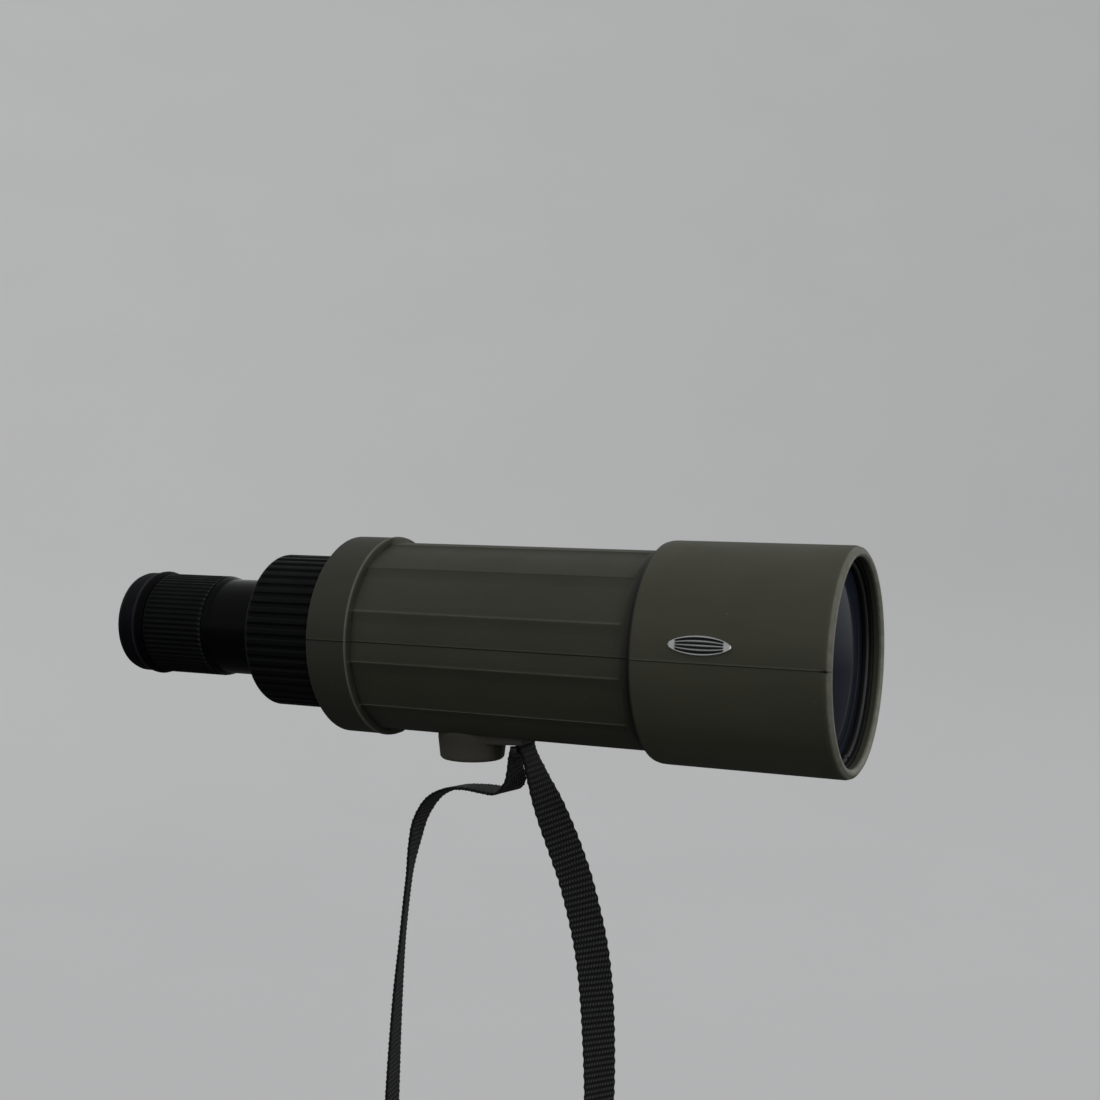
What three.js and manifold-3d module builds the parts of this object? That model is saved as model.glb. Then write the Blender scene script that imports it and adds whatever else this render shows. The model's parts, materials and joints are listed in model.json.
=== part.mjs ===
// A draw-tube spotting scope with a zoom eyepiece, standing on its tripod foot.
// Millimetres, +Z up. The origin is the centre of the foot's flat underside, where a tripod
// screw holds the scope. The optical axis runs along +X towards the objective.
import * as THREE from "three";
import { mergeVertices } from "three/addons/utils/BufferGeometryUtils.js";
import Module from "manifold-3d";

const wasm = await Module();
wasm.setup();

// ---------------------------------------------------------------- driving dimensions

const AXIS_HEIGHT = 52; // optical axis above the foot's underside
const GAP = 0.3; // clearance between pieces that touch or slide
const FACETS = { skin: 40, turning: 32, inner: 20 };
const REACH = 60; // longer than any cut has to be

// Front section, which slides out of the barrel.
const HOOD = { front: 171.5, rear: 90.5, radius: 46.5, bore: 43, lip: 42.2, lipRear: 167.3 };
const HOUSING = { front: 167, rear: 136.5, radius: 42.6, bore: 41.4, wall: 3.3 };
const DRAW_TUBE = { front: 143.2, rear: 13, radius: 36.3, bore: 35, flange: 41.1, flangeRear: 140.2 };
const CELL = { front: 163.1, rear: 144, radius: 41.1, bore: 40.3, seatFront: 152.4, seatRadius: 38 };
const RETAINING_RING = { front: 165.6, rear: 163.4, radius: 41.1, bore: 39.7, bevel: 0.8 };
const OBJECTIVE_RADIUS = 40;
const FRONT_ELEMENT = { front: 163, frontSag: 3.4, rear: 159.8, rearSag: 3 };
const REAR_ELEMENT = { front: 158.6, frontSag: -3, rear: 152.7, rearSag: -0.6 };
const ELEMENT_SPACER = { front: 159.5, rear: 158.9, radius: 40, bore: 38.6 };
const BAFFLE = { front: 72, rear: 70, radius: 34.7, bore: 28 };
const BADGE = { centre: 120.2, angle: 10, length: 27, height: 8, thickness: 0.7 };

// Barrel, which the foot carries.
const BARREL = {
  front: 133.5, rear: -59, radius: 42, bore: 39.6,
  collarRadius: 44.2, ridgeRadius: 44.6, ridge: -39, shoulder: -37, rampFoot: -35.2,
};
const FLUTES = { count: 12, width: 6.8, depth: 0.9, front: 85.5, rear: -38.4 };
const MAIN_TUBE = { front: 132.5, rear: -56, radius: 39.3, bore: 37.8 };
const BUSHING = { radius: 37.5, bore: 36.6, length: 8, frontOfBarrel: 131, frontOnDraw: 21.5 };

// Tripod foot with the strap lug.
const FOOT = { radius: 14.2, topRadius: 15.6, chamfer: 0.9, height: 13, neckRadius: 12.6, neckTop: 15 };
const KEEL = { rear: 8, front: 28.5, halfWidth: 10, rearBottom: 7.8, frontBottom: 8.8 };
const INSERT = { radius: 5, bore: 3.2, height: 9.3 };
const FOOT_SCREW = { spacing: 19, radius: 1.35, bottom: 5, shoulder: 14.5, headRadius: 2.3, headTop: 15.8 };
const STRAP_BAR = { x: 24.5, z: 4.8, wire: 1.5, halfWidth: 9.3, top: 8.1 };
const STRAP = { width: 15, thickness: 1.5, steps: 64 };
const STRAP_WRAP = { frontLean: 24, frontLeg: 3.7, rearLean: 10, rearLeg: 4.4 }; // degrees and lengths

// Image-erecting prisms.
const PRISM = { front: -14, halfHeight: 12, halfWidth: 12, splitFront: 2, split: 2, length: 28 };
const CAGE = { front: -13, rear: -44, radius: 37.3, pocketHalfWidth: 13, pocketHalfHeight: 16 };
const CLAMP = { front: -17, rear: -40, halfWidth: 5, bottom: 12.4, top: 13.6 };

// Rear body and focusing mechanism.
const REAR_BODY = { front: -45, shoulder: -56.6, rear: -94, flange: 37.3, neck: 29, bore: 27 };
const GRUB_SCREW = { x: -51, radius: 1.1, inner: 33.5, outer: 39, count: 3 };
const FOCUS_RING = { front: -59.6, rear: -97, radius: 34.8, valley: 34.1, bore: 33.3, ribs: 45 };
const FOCUS_CORE = { front: -57.2, rear: -93.9, radius: 33, bore: 29.3 };
const CARRIAGE = { front: -66, rear: -80, radius: 26.7, bore: 22.4, lip: 20.5, lipLength: 2 };
const FOCUS_LENS = { front: -69, rear: -77.6, radius: 22, sag: -1.5 };
const FOCUS_LENS_RING = { front: -66.4, rear: -68.6, radius: 22.1, bore: 20.6 };
const FOCUS_PIN = { x: -73, radius: 1.2, inner: 24.5, outer: 30.8 };
const FOCUS = { turn: 120, travel: 6, grooveRadius: 2.1, grooveCentre: 29.6, grooveSteps: 24 };

// Eyepiece.
const SOCKET = { rear: -97.2, shoulder: -94.3, front: -87, flange: 32.8, radius: 26.7, bore: 22.5 };
const EYEPIECE = { front: -88, rear: -129.4, radius: 22.2, bore: 20.9, flareFront: -126, flareRadius: 23.3 };
const INNER_TUBE = { front: -90, rear: -159.5, radius: 20.6, bore: 18.6 };
const ZOOM_RING = { front: -129.8, rear: -162.7, radius: 23.5, valley: 23, bore: 22.6, ribs: 60 };
const ZOOM_SLEEVE = { front: -130, rear: -158, radius: 22.3, bore: 20.9 };
const ZOOM = {
  turn: 180, pinRadius: 0.9, pinInner: 15.7, pinOuter: 22, slotRadius: 1.5, slotCentre: 21.4, slotSteps: 12,
};
const ZOOM_CELL = { length: 5, radius: 18.3, bore: 15.3, lensRadius: 15, lensLength: 4, lensSag: 0.8 };
const ZOOM_GROUPS = [
  { name: "front", x: -134, travel: -8, pinAngle: 90 },
  { name: "rear", x: -153.5, travel: 5.5, pinAngle: 270 },
];
const FIELD_LENS = { front: -93, rear: -98, radius: 18.3, sag: 1.2 };
const FIELD_STOP = { front: -90.4, rear: -91.4, radius: 18.3, bore: 14 };
const EYEPIECE_TOP = {
  front: -160, step: -163, rear: -172, radius: 21.8, stepRadius: 20.5, bore: 15.4, lip: 13.5, lipRear: -163.5,
};
const EYE_LENS = { front: -164, rear: -169.4, radius: 15.1, sag: 1.2 };
const EYE_LENS_RING = { front: -170, rear: -171.7, radius: 15.1, bore: 13.2 };
const EYECUP = { front: -163.3, rear: -178, radius: 23.7, bead: 24.6, beadCentre: -166.5, bore: 20.8 };

// ---------------------------------------------------------------- materials

const finish = (color, roughness, metalness) =>
  new THREE.MeshStandardMaterial({ color, roughness, metalness });

const MATERIALS = {
  armour: finish(0x4b4a3f, 0.72, 0),
  foot: finish(0x59584b, 0.6, 0),
  rubber: finish(0x1b1c1f, 0.8, 0),
  plastic: finish(0x141518, 0.3, 0),
  blackMetal: finish(0x1a1b1e, 0.5, 0.7),
  aluminium: finish(0xa4a6a8, 0.4, 0.9),
  steel: finish(0x8c8e90, 0.35, 1),
  badge: finish(0xb9bbb8, 0.3, 0.9),
  glass: finish(0x27324a, 0.05, 0),
  webbing: finish(0x17181a, 0.9, 0),
};

// ---------------------------------------------------------------- making solids

const radians = THREE.MathUtils.degToRad;

function solidOf(geometry) {
  const bare = geometry.clone();
  bare.deleteAttribute("normal");
  bare.deleteAttribute("uv");
  const merged = mergeVertices(bare, 1e-4);
  const vertProperties = merged.attributes.position.array;
  return new wasm.Manifold(
    new wasm.Mesh({ numProp: 3, vertProperties, triVerts: new Uint32Array(merged.index.array) }),
  );
}

function geometryOf(solid) {
  const mesh = solid.getMesh();
  return new THREE.BufferGeometry()
    .setAttribute("position", new THREE.BufferAttribute(new Float32Array(mesh.vertProperties), 3))
    .setIndex(new THREE.BufferAttribute(new Uint32Array(mesh.triVerts), 1));
}

const cut = (geometry, ...tools) =>
  geometryOf(tools.reduce((rest, tool) => rest.subtract(solidOf(tool)), solidOf(geometry)));

const join = (geometry, ...others) =>
  geometryOf(others.reduce((whole, other) => whole.add(solidOf(other)), solidOf(geometry)));

// A body of revolution about X. An outline is a list of [x, radius]: it closes on itself when it
// is a ring, and starts and ends on the axis when it isn't.
function turned(outline, facets) {
  const points = outline.map(([x, radius]) => new THREE.Vector2(radius, x));
  const onAxis = points[0].x === 0;
  if (THREE.ShapeUtils.isClockWise(points)) points.reverse();
  if (!onAxis) points.push(points[0].clone());
  return new THREE.LatheGeometry(points, facets).rotateZ(-Math.PI / 2);
}

const ringOutline = ({ front, rear, radius, bore }) => [
  [rear, bore],
  [rear, radius],
  [front, radius],
  [front, bore],
];

const ring = (size, facets = FACETS.inner) => turned(ringOutline(size), facets);

// One side of a lens as points from the axis to the rim. A positive sag bulges the way `facing` points.
function lensSide(rim, sag, radius, facing) {
  const steps = 2;
  return Array.from({ length: steps + 1 }, (_, i) => {
    const r = (radius * i) / steps;
    return [rim + facing * sag * (1 - (r / radius) ** 2), r];
  });
}

const lens = ({ front, frontSag, rear, rearSag }, radius) =>
  turned(
    [...lensSide(rear, rearSag, radius, -1), ...lensSide(front, frontSag, radius, 1).reverse()],
    FACETS.inner,
  );

const cylinderX = (radius, length, facets = FACETS.inner) =>
  new THREE.CylinderGeometry(radius, radius, length, facets).rotateZ(-Math.PI / 2);

const cylinderZ = (radius, bottom, top, facets = 16, topRadius = radius) =>
  new THREE.CylinderGeometry(topRadius, radius, top - bottom, facets)
    .rotateX(Math.PI / 2)
    .translate(0, 0, (top + bottom) / 2);

const block = (x, y, z) =>
  new THREE.BoxGeometry(x[1] - x[0], y[1] - y[0], z[1] - z[0]).translate(
    (x[0] + x[1]) / 2,
    (y[0] + y[1]) / 2,
    (z[0] + z[1]) / 2,
  );

// A short rod standing on the optical axis, pointing out at an angle turned from +Y towards +Z.
const radialRod = (x, radius, inner, outer, angle) =>
  cylinderZ(radius, inner, outer, 12)
    .rotateX(radians(angle - 90))
    .translate(x, 0, 0);

// The centre line of a cam groove. A ring that turns by theta brings the groove's point at
// pinAngle - theta to the pin, which has then moved by travel * theta / turn.
class CamCurve extends THREE.Curve {
  constructor({ x, radius, pinAngle, from, to, travelPerDegree }) {
    super();
    Object.assign(this, { x, radius, pinAngle, from, to, travelPerDegree });
  }
  getPoint(t, target = new THREE.Vector3()) {
    const theta = THREE.MathUtils.lerp(this.from, this.to, t);
    const angle = radians(this.pinAngle - theta);
    return target.set(
      this.x + this.travelPerDegree * theta,
      this.radius * Math.cos(angle),
      this.radius * Math.sin(angle),
    );
  }
}

function camGroove(curve, radius, steps) {
  const section = new THREE.Shape().absarc(0, 0, radius, 0, Math.PI * 2);
  return new THREE.ExtrudeGeometry(section, { steps, curveSegments: 4, extrudePath: curve });
}

// A ring with straight ribs along its outside. A rib's profile is a list of [share of the pitch, radius].
function ribbedRing({ front, rear, bore, ribs }, rib, facets) {
  const pitch = (Math.PI * 2) / ribs;
  const shape = new THREE.Shape();
  for (let i = 0; i < ribs; i++) {
    for (const [share, radius] of rib) {
      const angle = (i + share) * pitch;
      const point = [radius * Math.cos(angle), radius * Math.sin(angle)];
      if (i === 0 && share === 0) shape.moveTo(...point);
      else shape.lineTo(...point);
    }
  }
  shape.holes.push(new THREE.Path(new THREE.Path().absarc(0, 0, bore, 0, Math.PI * 2).getPoints(facets / 2)));
  return new THREE.ExtrudeGeometry(shape, { depth: front - rear, bevelEnabled: false })
    .rotateY(Math.PI / 2)
    .translate(rear, 0, 0);
}

// ---------------------------------------------------------------- scene graph

const scope = new THREE.Group();
const opticalAxis = new THREE.Group();
opticalAxis.position.z = AXIS_HEIGHT;
scope.add(opticalAxis);

function add(name, geometry, material, parent = opticalAxis) {
  const mesh = new THREE.Mesh(geometry, material);
  mesh.name = name;
  parent.add(mesh);
  return mesh;
}

// ---------------------------------------------------------------- front section

function addHood() {
  const { front, rear, radius, bore, lip, lipRear } = HOOD;
  const outline = [
    [rear + 0.9, bore],
    [rear, bore + 1],
    [rear, radius - 1.6],
    [rear + 0.7, radius - 0.6],
    [rear + 2.5, radius - 0.1],
    [rear + 5, radius],
    [front - 3, radius],
    [front - 1.1, radius - 0.6],
    [front, radius - 2.2],
    [front, lip + 1],
    [front - 0.9, lip],
    [lipRear, lip],
    [lipRear, bore],
  ];
  add("hood_armour", turned(outline, FACETS.skin), MATERIALS.armour);
}

function addBadge() {
  const { centre, angle, length, height, thickness } = BADGE;
  const shape = new THREE.Shape().absellipse(0, 0, length / 2, height / 2, 0, Math.PI * 2);
  const geometry = new THREE.ExtrudeGeometry(shape, {
    depth: thickness,
    bevelEnabled: false,
    curveSegments: 12,
  });
  const badge = add("badge", geometry, MATERIALS.badge);
  const seat = HOOD.radius + GAP;
  badge.rotation.x = radians(90 - angle);
  badge.position.set(centre, -seat * Math.cos(radians(angle)), seat * Math.sin(radians(angle)));
}

function addObjective() {
  const { front, rear, radius, bore, wall } = HOUSING;
  const tubeHole = DRAW_TUBE.radius + GAP;
  const housing = [
    [rear, tubeHole],
    [rear, radius],
    [front, radius],
    [front, bore],
    [rear + wall, bore],
    [rear + wall, tubeHole],
  ];
  add("objective_housing", turned(housing, FACETS.skin), MATERIALS.blackMetal);
  const cell = [
    [CELL.rear, CELL.seatRadius],
    [CELL.rear, CELL.radius],
    [CELL.front, CELL.radius],
    [CELL.front, CELL.bore],
    [CELL.seatFront, CELL.bore],
    [CELL.seatFront, CELL.seatRadius],
  ];
  add("objective_cell", turned(cell, FACETS.inner), MATERIALS.blackMetal);
  const retaining = [
    [RETAINING_RING.rear, RETAINING_RING.bore],
    [RETAINING_RING.rear, RETAINING_RING.radius],
    [RETAINING_RING.front, RETAINING_RING.radius],
    [RETAINING_RING.front, RETAINING_RING.bore + RETAINING_RING.bevel],
    [RETAINING_RING.front - RETAINING_RING.bevel, RETAINING_RING.bore],
  ];
  add("objective_retaining_ring", turned(retaining, FACETS.skin), MATERIALS.blackMetal);
  add("objective_front_element", lens(FRONT_ELEMENT, OBJECTIVE_RADIUS), MATERIALS.glass);
  add("objective_rear_element", lens(REAR_ELEMENT, OBJECTIVE_RADIUS), MATERIALS.glass);
  add("objective_spacer", ring(ELEMENT_SPACER), MATERIALS.blackMetal);
}

function addDrawTube() {
  const { front, rear, radius, bore, flange, flangeRear } = DRAW_TUBE;
  const outline = [
    [rear, bore],
    [rear, radius],
    [flangeRear, radius],
    [flangeRear, flange],
    [front, flange],
    [front, bore],
  ];
  add("draw_tube", turned(outline, FACETS.skin), MATERIALS.blackMetal);
  const bushing = { ...BUSHING, front: BUSHING.frontOnDraw, rear: BUSHING.frontOnDraw - BUSHING.length };
  add("draw_tube_rear_bushing", ring(bushing, FACETS.skin), MATERIALS.plastic);
  add("draw_tube_baffle", ring(BAFFLE), MATERIALS.blackMetal);
}

// ---------------------------------------------------------------- barrel

function addBarrel() {
  const { front, rear, radius, bore, collarRadius, ridgeRadius, ridge, shoulder, rampFoot } = BARREL;
  const outline = [
    [rear, bore],
    [rear, collarRadius - 0.9],
    [rear + 0.9, collarRadius],
    [ridge - 1.8, collarRadius],
    [ridge - 0.6, ridgeRadius],
    [ridge + 0.4, ridgeRadius - 0.1],
    [shoulder, collarRadius - 0.3],
    [rampFoot, radius],
    [front - 0.8, radius],
    [front, radius - 0.8],
    [front, bore],
  ];
  const flutes = Array.from({ length: FLUTES.count }, (_, i) =>
    block(
      [FLUTES.rear, FLUTES.front],
      [-FLUTES.width / 2, FLUTES.width / 2],
      [radius - FLUTES.depth, radius + REACH],
    ).rotateX(((i + 0.5) / FLUTES.count) * Math.PI * 2),
  );
  const footHole = cylinderZ(FOOT.neckRadius + GAP, -REACH, 0, FACETS.inner);
  add("barrel_armour", cut(turned(outline, FACETS.skin), ...flutes, footHole), MATERIALS.armour);
}

const footScrewPlaces = [-FOOT_SCREW.spacing / 2, FOOT_SCREW.spacing / 2];
const grubScrewAngles = Array.from({ length: GRUB_SCREW.count }, (_, i) => 90 + (i * 360) / GRUB_SCREW.count);

function addMainTube() {
  const screwHoles = footScrewPlaces.map((x) =>
    cylinderZ(FOOT_SCREW.radius + GAP, -REACH, 0, 12).translate(x, 0, 0),
  );
  const grubHoles = grubScrewAngles.map((angle) =>
    radialRod(GRUB_SCREW.x, GRUB_SCREW.radius + GAP, GRUB_SCREW.inner, REACH, angle),
  );
  const tube = cut(ring(MAIN_TUBE, FACETS.skin), ...screwHoles, ...grubHoles);
  add("main_tube", tube, MATERIALS.blackMetal);
  const bushing = {
    ...BUSHING,
    front: BUSHING.frontOfBarrel,
    rear: BUSHING.frontOfBarrel - BUSHING.length,
  };
  add("barrel_front_bushing", ring(bushing, FACETS.skin), MATERIALS.plastic);
}

// ---------------------------------------------------------------- foot and strap

function addFoot() {
  const clearOf = (radius) => cylinderX(radius + GAP, REACH * 2, FACETS.skin).translate(0, 0, AXIS_HEIGHT);
  const outer = join(
    cylinderZ(FOOT.radius - FOOT.chamfer, 0, FOOT.chamfer, 32, FOOT.radius),
    cylinderZ(FOOT.radius, FOOT.chamfer, FOOT.height, 32, FOOT.topRadius),
    new THREE.ExtrudeGeometry(
      new THREE.Shape([
        new THREE.Vector2(KEEL.rear, KEEL.rearBottom),
        new THREE.Vector2(KEEL.front, KEEL.frontBottom),
        new THREE.Vector2(KEEL.front, FOOT.height),
        new THREE.Vector2(KEEL.rear, FOOT.height),
      ]),
      { depth: KEEL.halfWidth * 2, bevelEnabled: false },
    )
      .rotateX(Math.PI / 2)
      .translate(0, KEEL.halfWidth, 0),
  );
  const rawNeck = cylinderZ(FOOT.neckRadius, FOOT.chamfer, FOOT.neckTop, FACETS.inner);
  const neck = cut(rawNeck, clearOf(MAIN_TUBE.radius));
  const body = join(cut(outer, clearOf(BARREL.radius)), neck);
  const screwHoles = footScrewPlaces.map((x) =>
    cylinderZ(FOOT_SCREW.radius + GAP, FOOT_SCREW.bottom - GAP, REACH, 12).translate(x, 0, 0),
  );
  const insertHole = cylinderZ(INSERT.radius + GAP, -GAP, INSERT.height + GAP, FACETS.inner);
  add("tripod_foot", cut(body, insertHole, ...screwHoles), MATERIALS.foot, scope);

  const insert = cut(
    cylinderZ(INSERT.radius, 0, INSERT.height, FACETS.inner),
    cylinderZ(INSERT.bore, -GAP, INSERT.height + GAP, FACETS.inner),
  );
  add("tripod_thread_insert", insert, MATERIALS.steel, scope);

  for (const [i, x] of footScrewPlaces.entries()) {
    const screw = join(
      cylinderZ(FOOT_SCREW.radius, FOOT_SCREW.bottom, FOOT_SCREW.shoulder + 0.1, 12),
      cylinderZ(FOOT_SCREW.headRadius, FOOT_SCREW.shoulder, FOOT_SCREW.headTop, 16),
    ).translate(x, 0, 0);
    add(i === 0 ? "foot_screw_rear" : "foot_screw_front", screw, MATERIALS.steel, scope);
  }
}

function addStrapBar() {
  const { x, z, wire, halfWidth, top } = STRAP_BAR;
  const leg = () => cylinderZ(wire, z, top, 12);
  const crossbar = new THREE.CylinderGeometry(wire, wire, halfWidth * 2 + wire, 12).translate(0, 0, z);
  const bar = join(crossbar, leg().translate(0, -halfWidth, 0), leg().translate(0, halfWidth, 0));
  add("strap_bar", bar.translate(x, 0, 0), MATERIALS.blackMetal, scope);
}

// The strap's sewn end: a band over the bar, with a leg down to each end of the strap.
function addStrapWrap() {
  const { frontLean, frontLeg, rearLean, rearLeg } = STRAP_WRAP;
  const inner = STRAP_BAR.wire + GAP;
  const outer = inner + STRAP.thickness;
  const front = radians(frontLean);
  const rear = radians(rearLean);
  const foot = (radius, lean, leg, side) => [
    side * (radius * Math.cos(lean) + leg * Math.sin(lean)),
    radius * Math.sin(lean) - leg * Math.cos(lean),
  ];
  const shape = new THREE.Shape()
    .moveTo(...foot(outer, front, frontLeg, 1))
    .lineTo(...foot(outer, front, 0, 1))
    .absarc(0, 0, outer, front, Math.PI - rear, false)
    .lineTo(...foot(outer, rear, rearLeg, -1))
    .lineTo(...foot(inner, rear, rearLeg, -1))
    .lineTo(...foot(inner, rear, 0, -1))
    .absarc(0, 0, inner, Math.PI - rear, front, true)
    .lineTo(...foot(inner, front, frontLeg, 1));
  const wrap = new THREE.ExtrudeGeometry(shape, {
    depth: STRAP.width,
    bevelEnabled: false,
    curveSegments: 8,
  })
    .rotateX(Math.PI / 2)
    .translate(STRAP_BAR.x, STRAP.width / 2, STRAP_BAR.z);
  add("strap_wrap", wrap, MATERIALS.webbing, scope);
}

// The strap's route from the front of the bar, down and round, and back behind the foot: each row
// is a point on its centre line, then the way its width points there.
const STRAP_ROUTE = [
  [28.6, 0, 1.9, 0, 1, 0],
  [33, 0, -8.5, 0.25, 0.95, 0.1],
  [37.7, 0, -18.8, 0.55, 0.8, 0.25],
  [46.6, -1, -37.8, 0.8, 0.45, 0.35],
  [51.8, -2, -50, 0.85, 0.38, 0.3],
  [60, -3, -80, 0.85, 0.45, 0.2],
  [64, -4, -120, 0.7, 0.7, 0],
  [64, -4, -170, 0.4, 0.9, 0],
  [60, -3, -230, 0.1, 1, 0],
  [52, -1, -290, 0, 1, 0],
  [40, 2, -345, 0, 1, 0],
  [20, 6, -385, 0, 1, 0],
  [-3, 10, -395, 0, 1, 0],
  [-25, 13, -383, 0, 1, 0],
  [-42, 16, -345, 0, 1, 0],
  [-50, 19, -290, 0, 1, 0],
  [-53, 21, -230, 0, 1, 0],
  [-52, 22, -170, -0.1, 1, 0],
  [-50, 23, -120, -0.25, 1, 0],
  [-48, 24.5, -88, -0.35, 0.95, 0],
  [-46, 26, -64, -0.33, 0.95, 0],
  [-43.6, 27, -47, -0.12, 1, 0],
  [-40.8, 27.5, -36, 0, 1, 0],
  [-33.5, 27.2, -25.5, 0.1, 1, 0],
  [-22.5, 25.3, -20, 0.3, 0.95, 0],
  [-10, 21.5, -17.8, 0.45, 0.9, 0],
  [2, 16.2, -17, 0.5, 0.85, 0.05],
  [11.5, 10, -15.5, 0.5, 0.85, 0.1],
  [17, 4.8, -12, 0.35, 0.9, 0.1],
  [19.8, 1.4, -7.5, 0.12, 1, 0],
  [20.85, 0.1, -3, 0, 1, 0],
  [21.15, 0, 0.2, 0, 1, 0],
];

function addStrap() {
  const centre = new THREE.CatmullRomCurve3(
    STRAP_ROUTE.map(([x, y, z]) => new THREE.Vector3(x, y, z)),
    false,
    "centripetal",
  );
  const widthWay = new THREE.CatmullRomCurve3(STRAP_ROUTE.map((row) => new THREE.Vector3(...row.slice(3))));
  const geometry = new THREE.BoxGeometry(STRAP.width, STRAP.thickness, 1, 1, 1, STRAP.steps);
  const position = geometry.attributes.position;
  const local = new THREE.Vector3();
  for (let i = 0; i < position.count; i++) {
    local.fromBufferAttribute(position, i);
    const t = THREE.MathUtils.clamp(local.z + 0.5, 0, 1);
    const along = centre.getTangent(t);
    const thick = new THREE.Vector3().crossVectors(along, widthWay.getPoint(t)).normalize();
    const wide = new THREE.Vector3().crossVectors(thick, along);
    const point = centre.getPoint(t).addScaledVector(wide, local.x).addScaledVector(thick, local.y);
    position.setXYZ(i, point.x, point.y, point.z);
  }
  add("carry_strap", geometry, MATERIALS.webbing, scope);
}

// ---------------------------------------------------------------- prisms

// A prism's outline in the X-Z plane, given as distances behind the front face and heights.
function addPrism(name, corners) {
  const points = corners.map(([depth, height]) => new THREE.Vector2(PRISM.front - depth, height));
  const shape = new THREE.Shape(points);
  const geometry = new THREE.ExtrudeGeometry(shape, { depth: PRISM.halfWidth * 2, bevelEnabled: false })
    .rotateX(Math.PI / 2)
    .translate(0, PRISM.halfWidth, 0);
  add(name, geometry, MATERIALS.glass);
}

function addPrisms() {
  const { halfHeight: h, splitFront, split, length } = PRISM;
  addPrism("prism_half_penta", [[0, h], [0, -h], [splitFront, -h], [splitFront + 2 * h, h]]);
  addPrism("prism_roof", [[splitFront + split, -h], [length, h], [length, -h]]);
  const drum = cylinderX(CAGE.radius, CAGE.front - CAGE.rear, FACETS.inner).translate(
    (CAGE.front + CAGE.rear) / 2,
    0,
    0,
  );
  const pocket = block(
    [CAGE.rear - GAP, CAGE.front + GAP],
    [-CAGE.pocketHalfWidth, CAGE.pocketHalfWidth],
    [-CAGE.pocketHalfHeight, CAGE.pocketHalfHeight],
  );
  add("prism_cage", cut(drum, pocket), MATERIALS.blackMetal);
  const across = [-CLAMP.halfWidth, CLAMP.halfWidth];
  const clamp = block([CLAMP.rear, CLAMP.front], across, [CLAMP.bottom, CLAMP.top]);
  add("prism_clamp", clamp, MATERIALS.steel);
}

// ---------------------------------------------------------------- rear body and focusing

function addRearBody() {
  const { front, shoulder, rear, flange, neck, bore } = REAR_BODY;
  const outline = [
    [rear, bore],
    [rear, neck],
    [shoulder, neck],
    [shoulder, flange],
    [front, flange],
    [front, bore],
  ];
  const pinSlot = block(
    [FOCUS_PIN.x - FOCUS.travel - 2, FOCUS_PIN.x + FOCUS.travel + 2],
    [-FOCUS_PIN.radius - GAP, FOCUS_PIN.radius + GAP],
    [bore - 2, REACH],
  );
  const grubHoles = grubScrewAngles.map((angle) =>
    radialRod(GRUB_SCREW.x, GRUB_SCREW.radius + GAP, GRUB_SCREW.inner - GAP, REACH, angle),
  );
  const body = cut(turned(outline, FACETS.turning), pinSlot, ...grubHoles);
  add("rear_body", body, MATERIALS.blackMetal);
  for (const [i, angle] of grubScrewAngles.entries()) {
    const screw = radialRod(GRUB_SCREW.x, GRUB_SCREW.radius, GRUB_SCREW.inner, GRUB_SCREW.outer, angle);
    add(`rear_body_screw_${i + 1}`, screw, MATERIALS.steel);
  }
}

function addFocusing() {
  const { radius: land, valley } = FOCUS_RING;
  const rib = [[0, land], [0.55, land], [0.68, valley], [0.87, valley]];
  add("focus_ring_grip", ribbedRing(FOCUS_RING, rib, FACETS.turning), MATERIALS.rubber);
  const groove = camGroove(
    new CamCurve({
      x: FOCUS_PIN.x,
      radius: FOCUS.grooveCentre,
      pinAngle: 90,
      from: -FOCUS.turn - 5,
      to: FOCUS.turn + 5,
      travelPerDegree: FOCUS.travel / FOCUS.turn,
    }),
    FOCUS.grooveRadius,
    FOCUS.grooveSteps,
  );
  add("focus_ring_core", cut(ring(FOCUS_CORE, FACETS.turning), groove), MATERIALS.aluminium);

  const { front, rear, radius, bore, lip, lipLength } = CARRIAGE;
  const outline = [
    [rear, lip],
    [rear, radius],
    [front, radius],
    [front, bore],
    [rear + lipLength, bore],
    [rear + lipLength, lip],
  ];
  const pinHole = radialRod(FOCUS_PIN.x, FOCUS_PIN.radius + GAP, FOCUS_PIN.inner - GAP, REACH, 90);
  add("focus_carriage", cut(turned(outline, FACETS.inner), pinHole), MATERIALS.blackMetal);
  const pin = radialRod(FOCUS_PIN.x, FOCUS_PIN.radius, FOCUS_PIN.inner, FOCUS_PIN.outer, 90);
  add("focus_pin", pin, MATERIALS.steel);
  const { sag } = FOCUS_LENS;
  add("focus_lens", lens({ ...FOCUS_LENS, frontSag: sag, rearSag: sag }, FOCUS_LENS.radius), MATERIALS.glass);
  add("focus_lens_retainer", ring(FOCUS_LENS_RING), MATERIALS.blackMetal);
}

// ---------------------------------------------------------------- eyepiece

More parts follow.
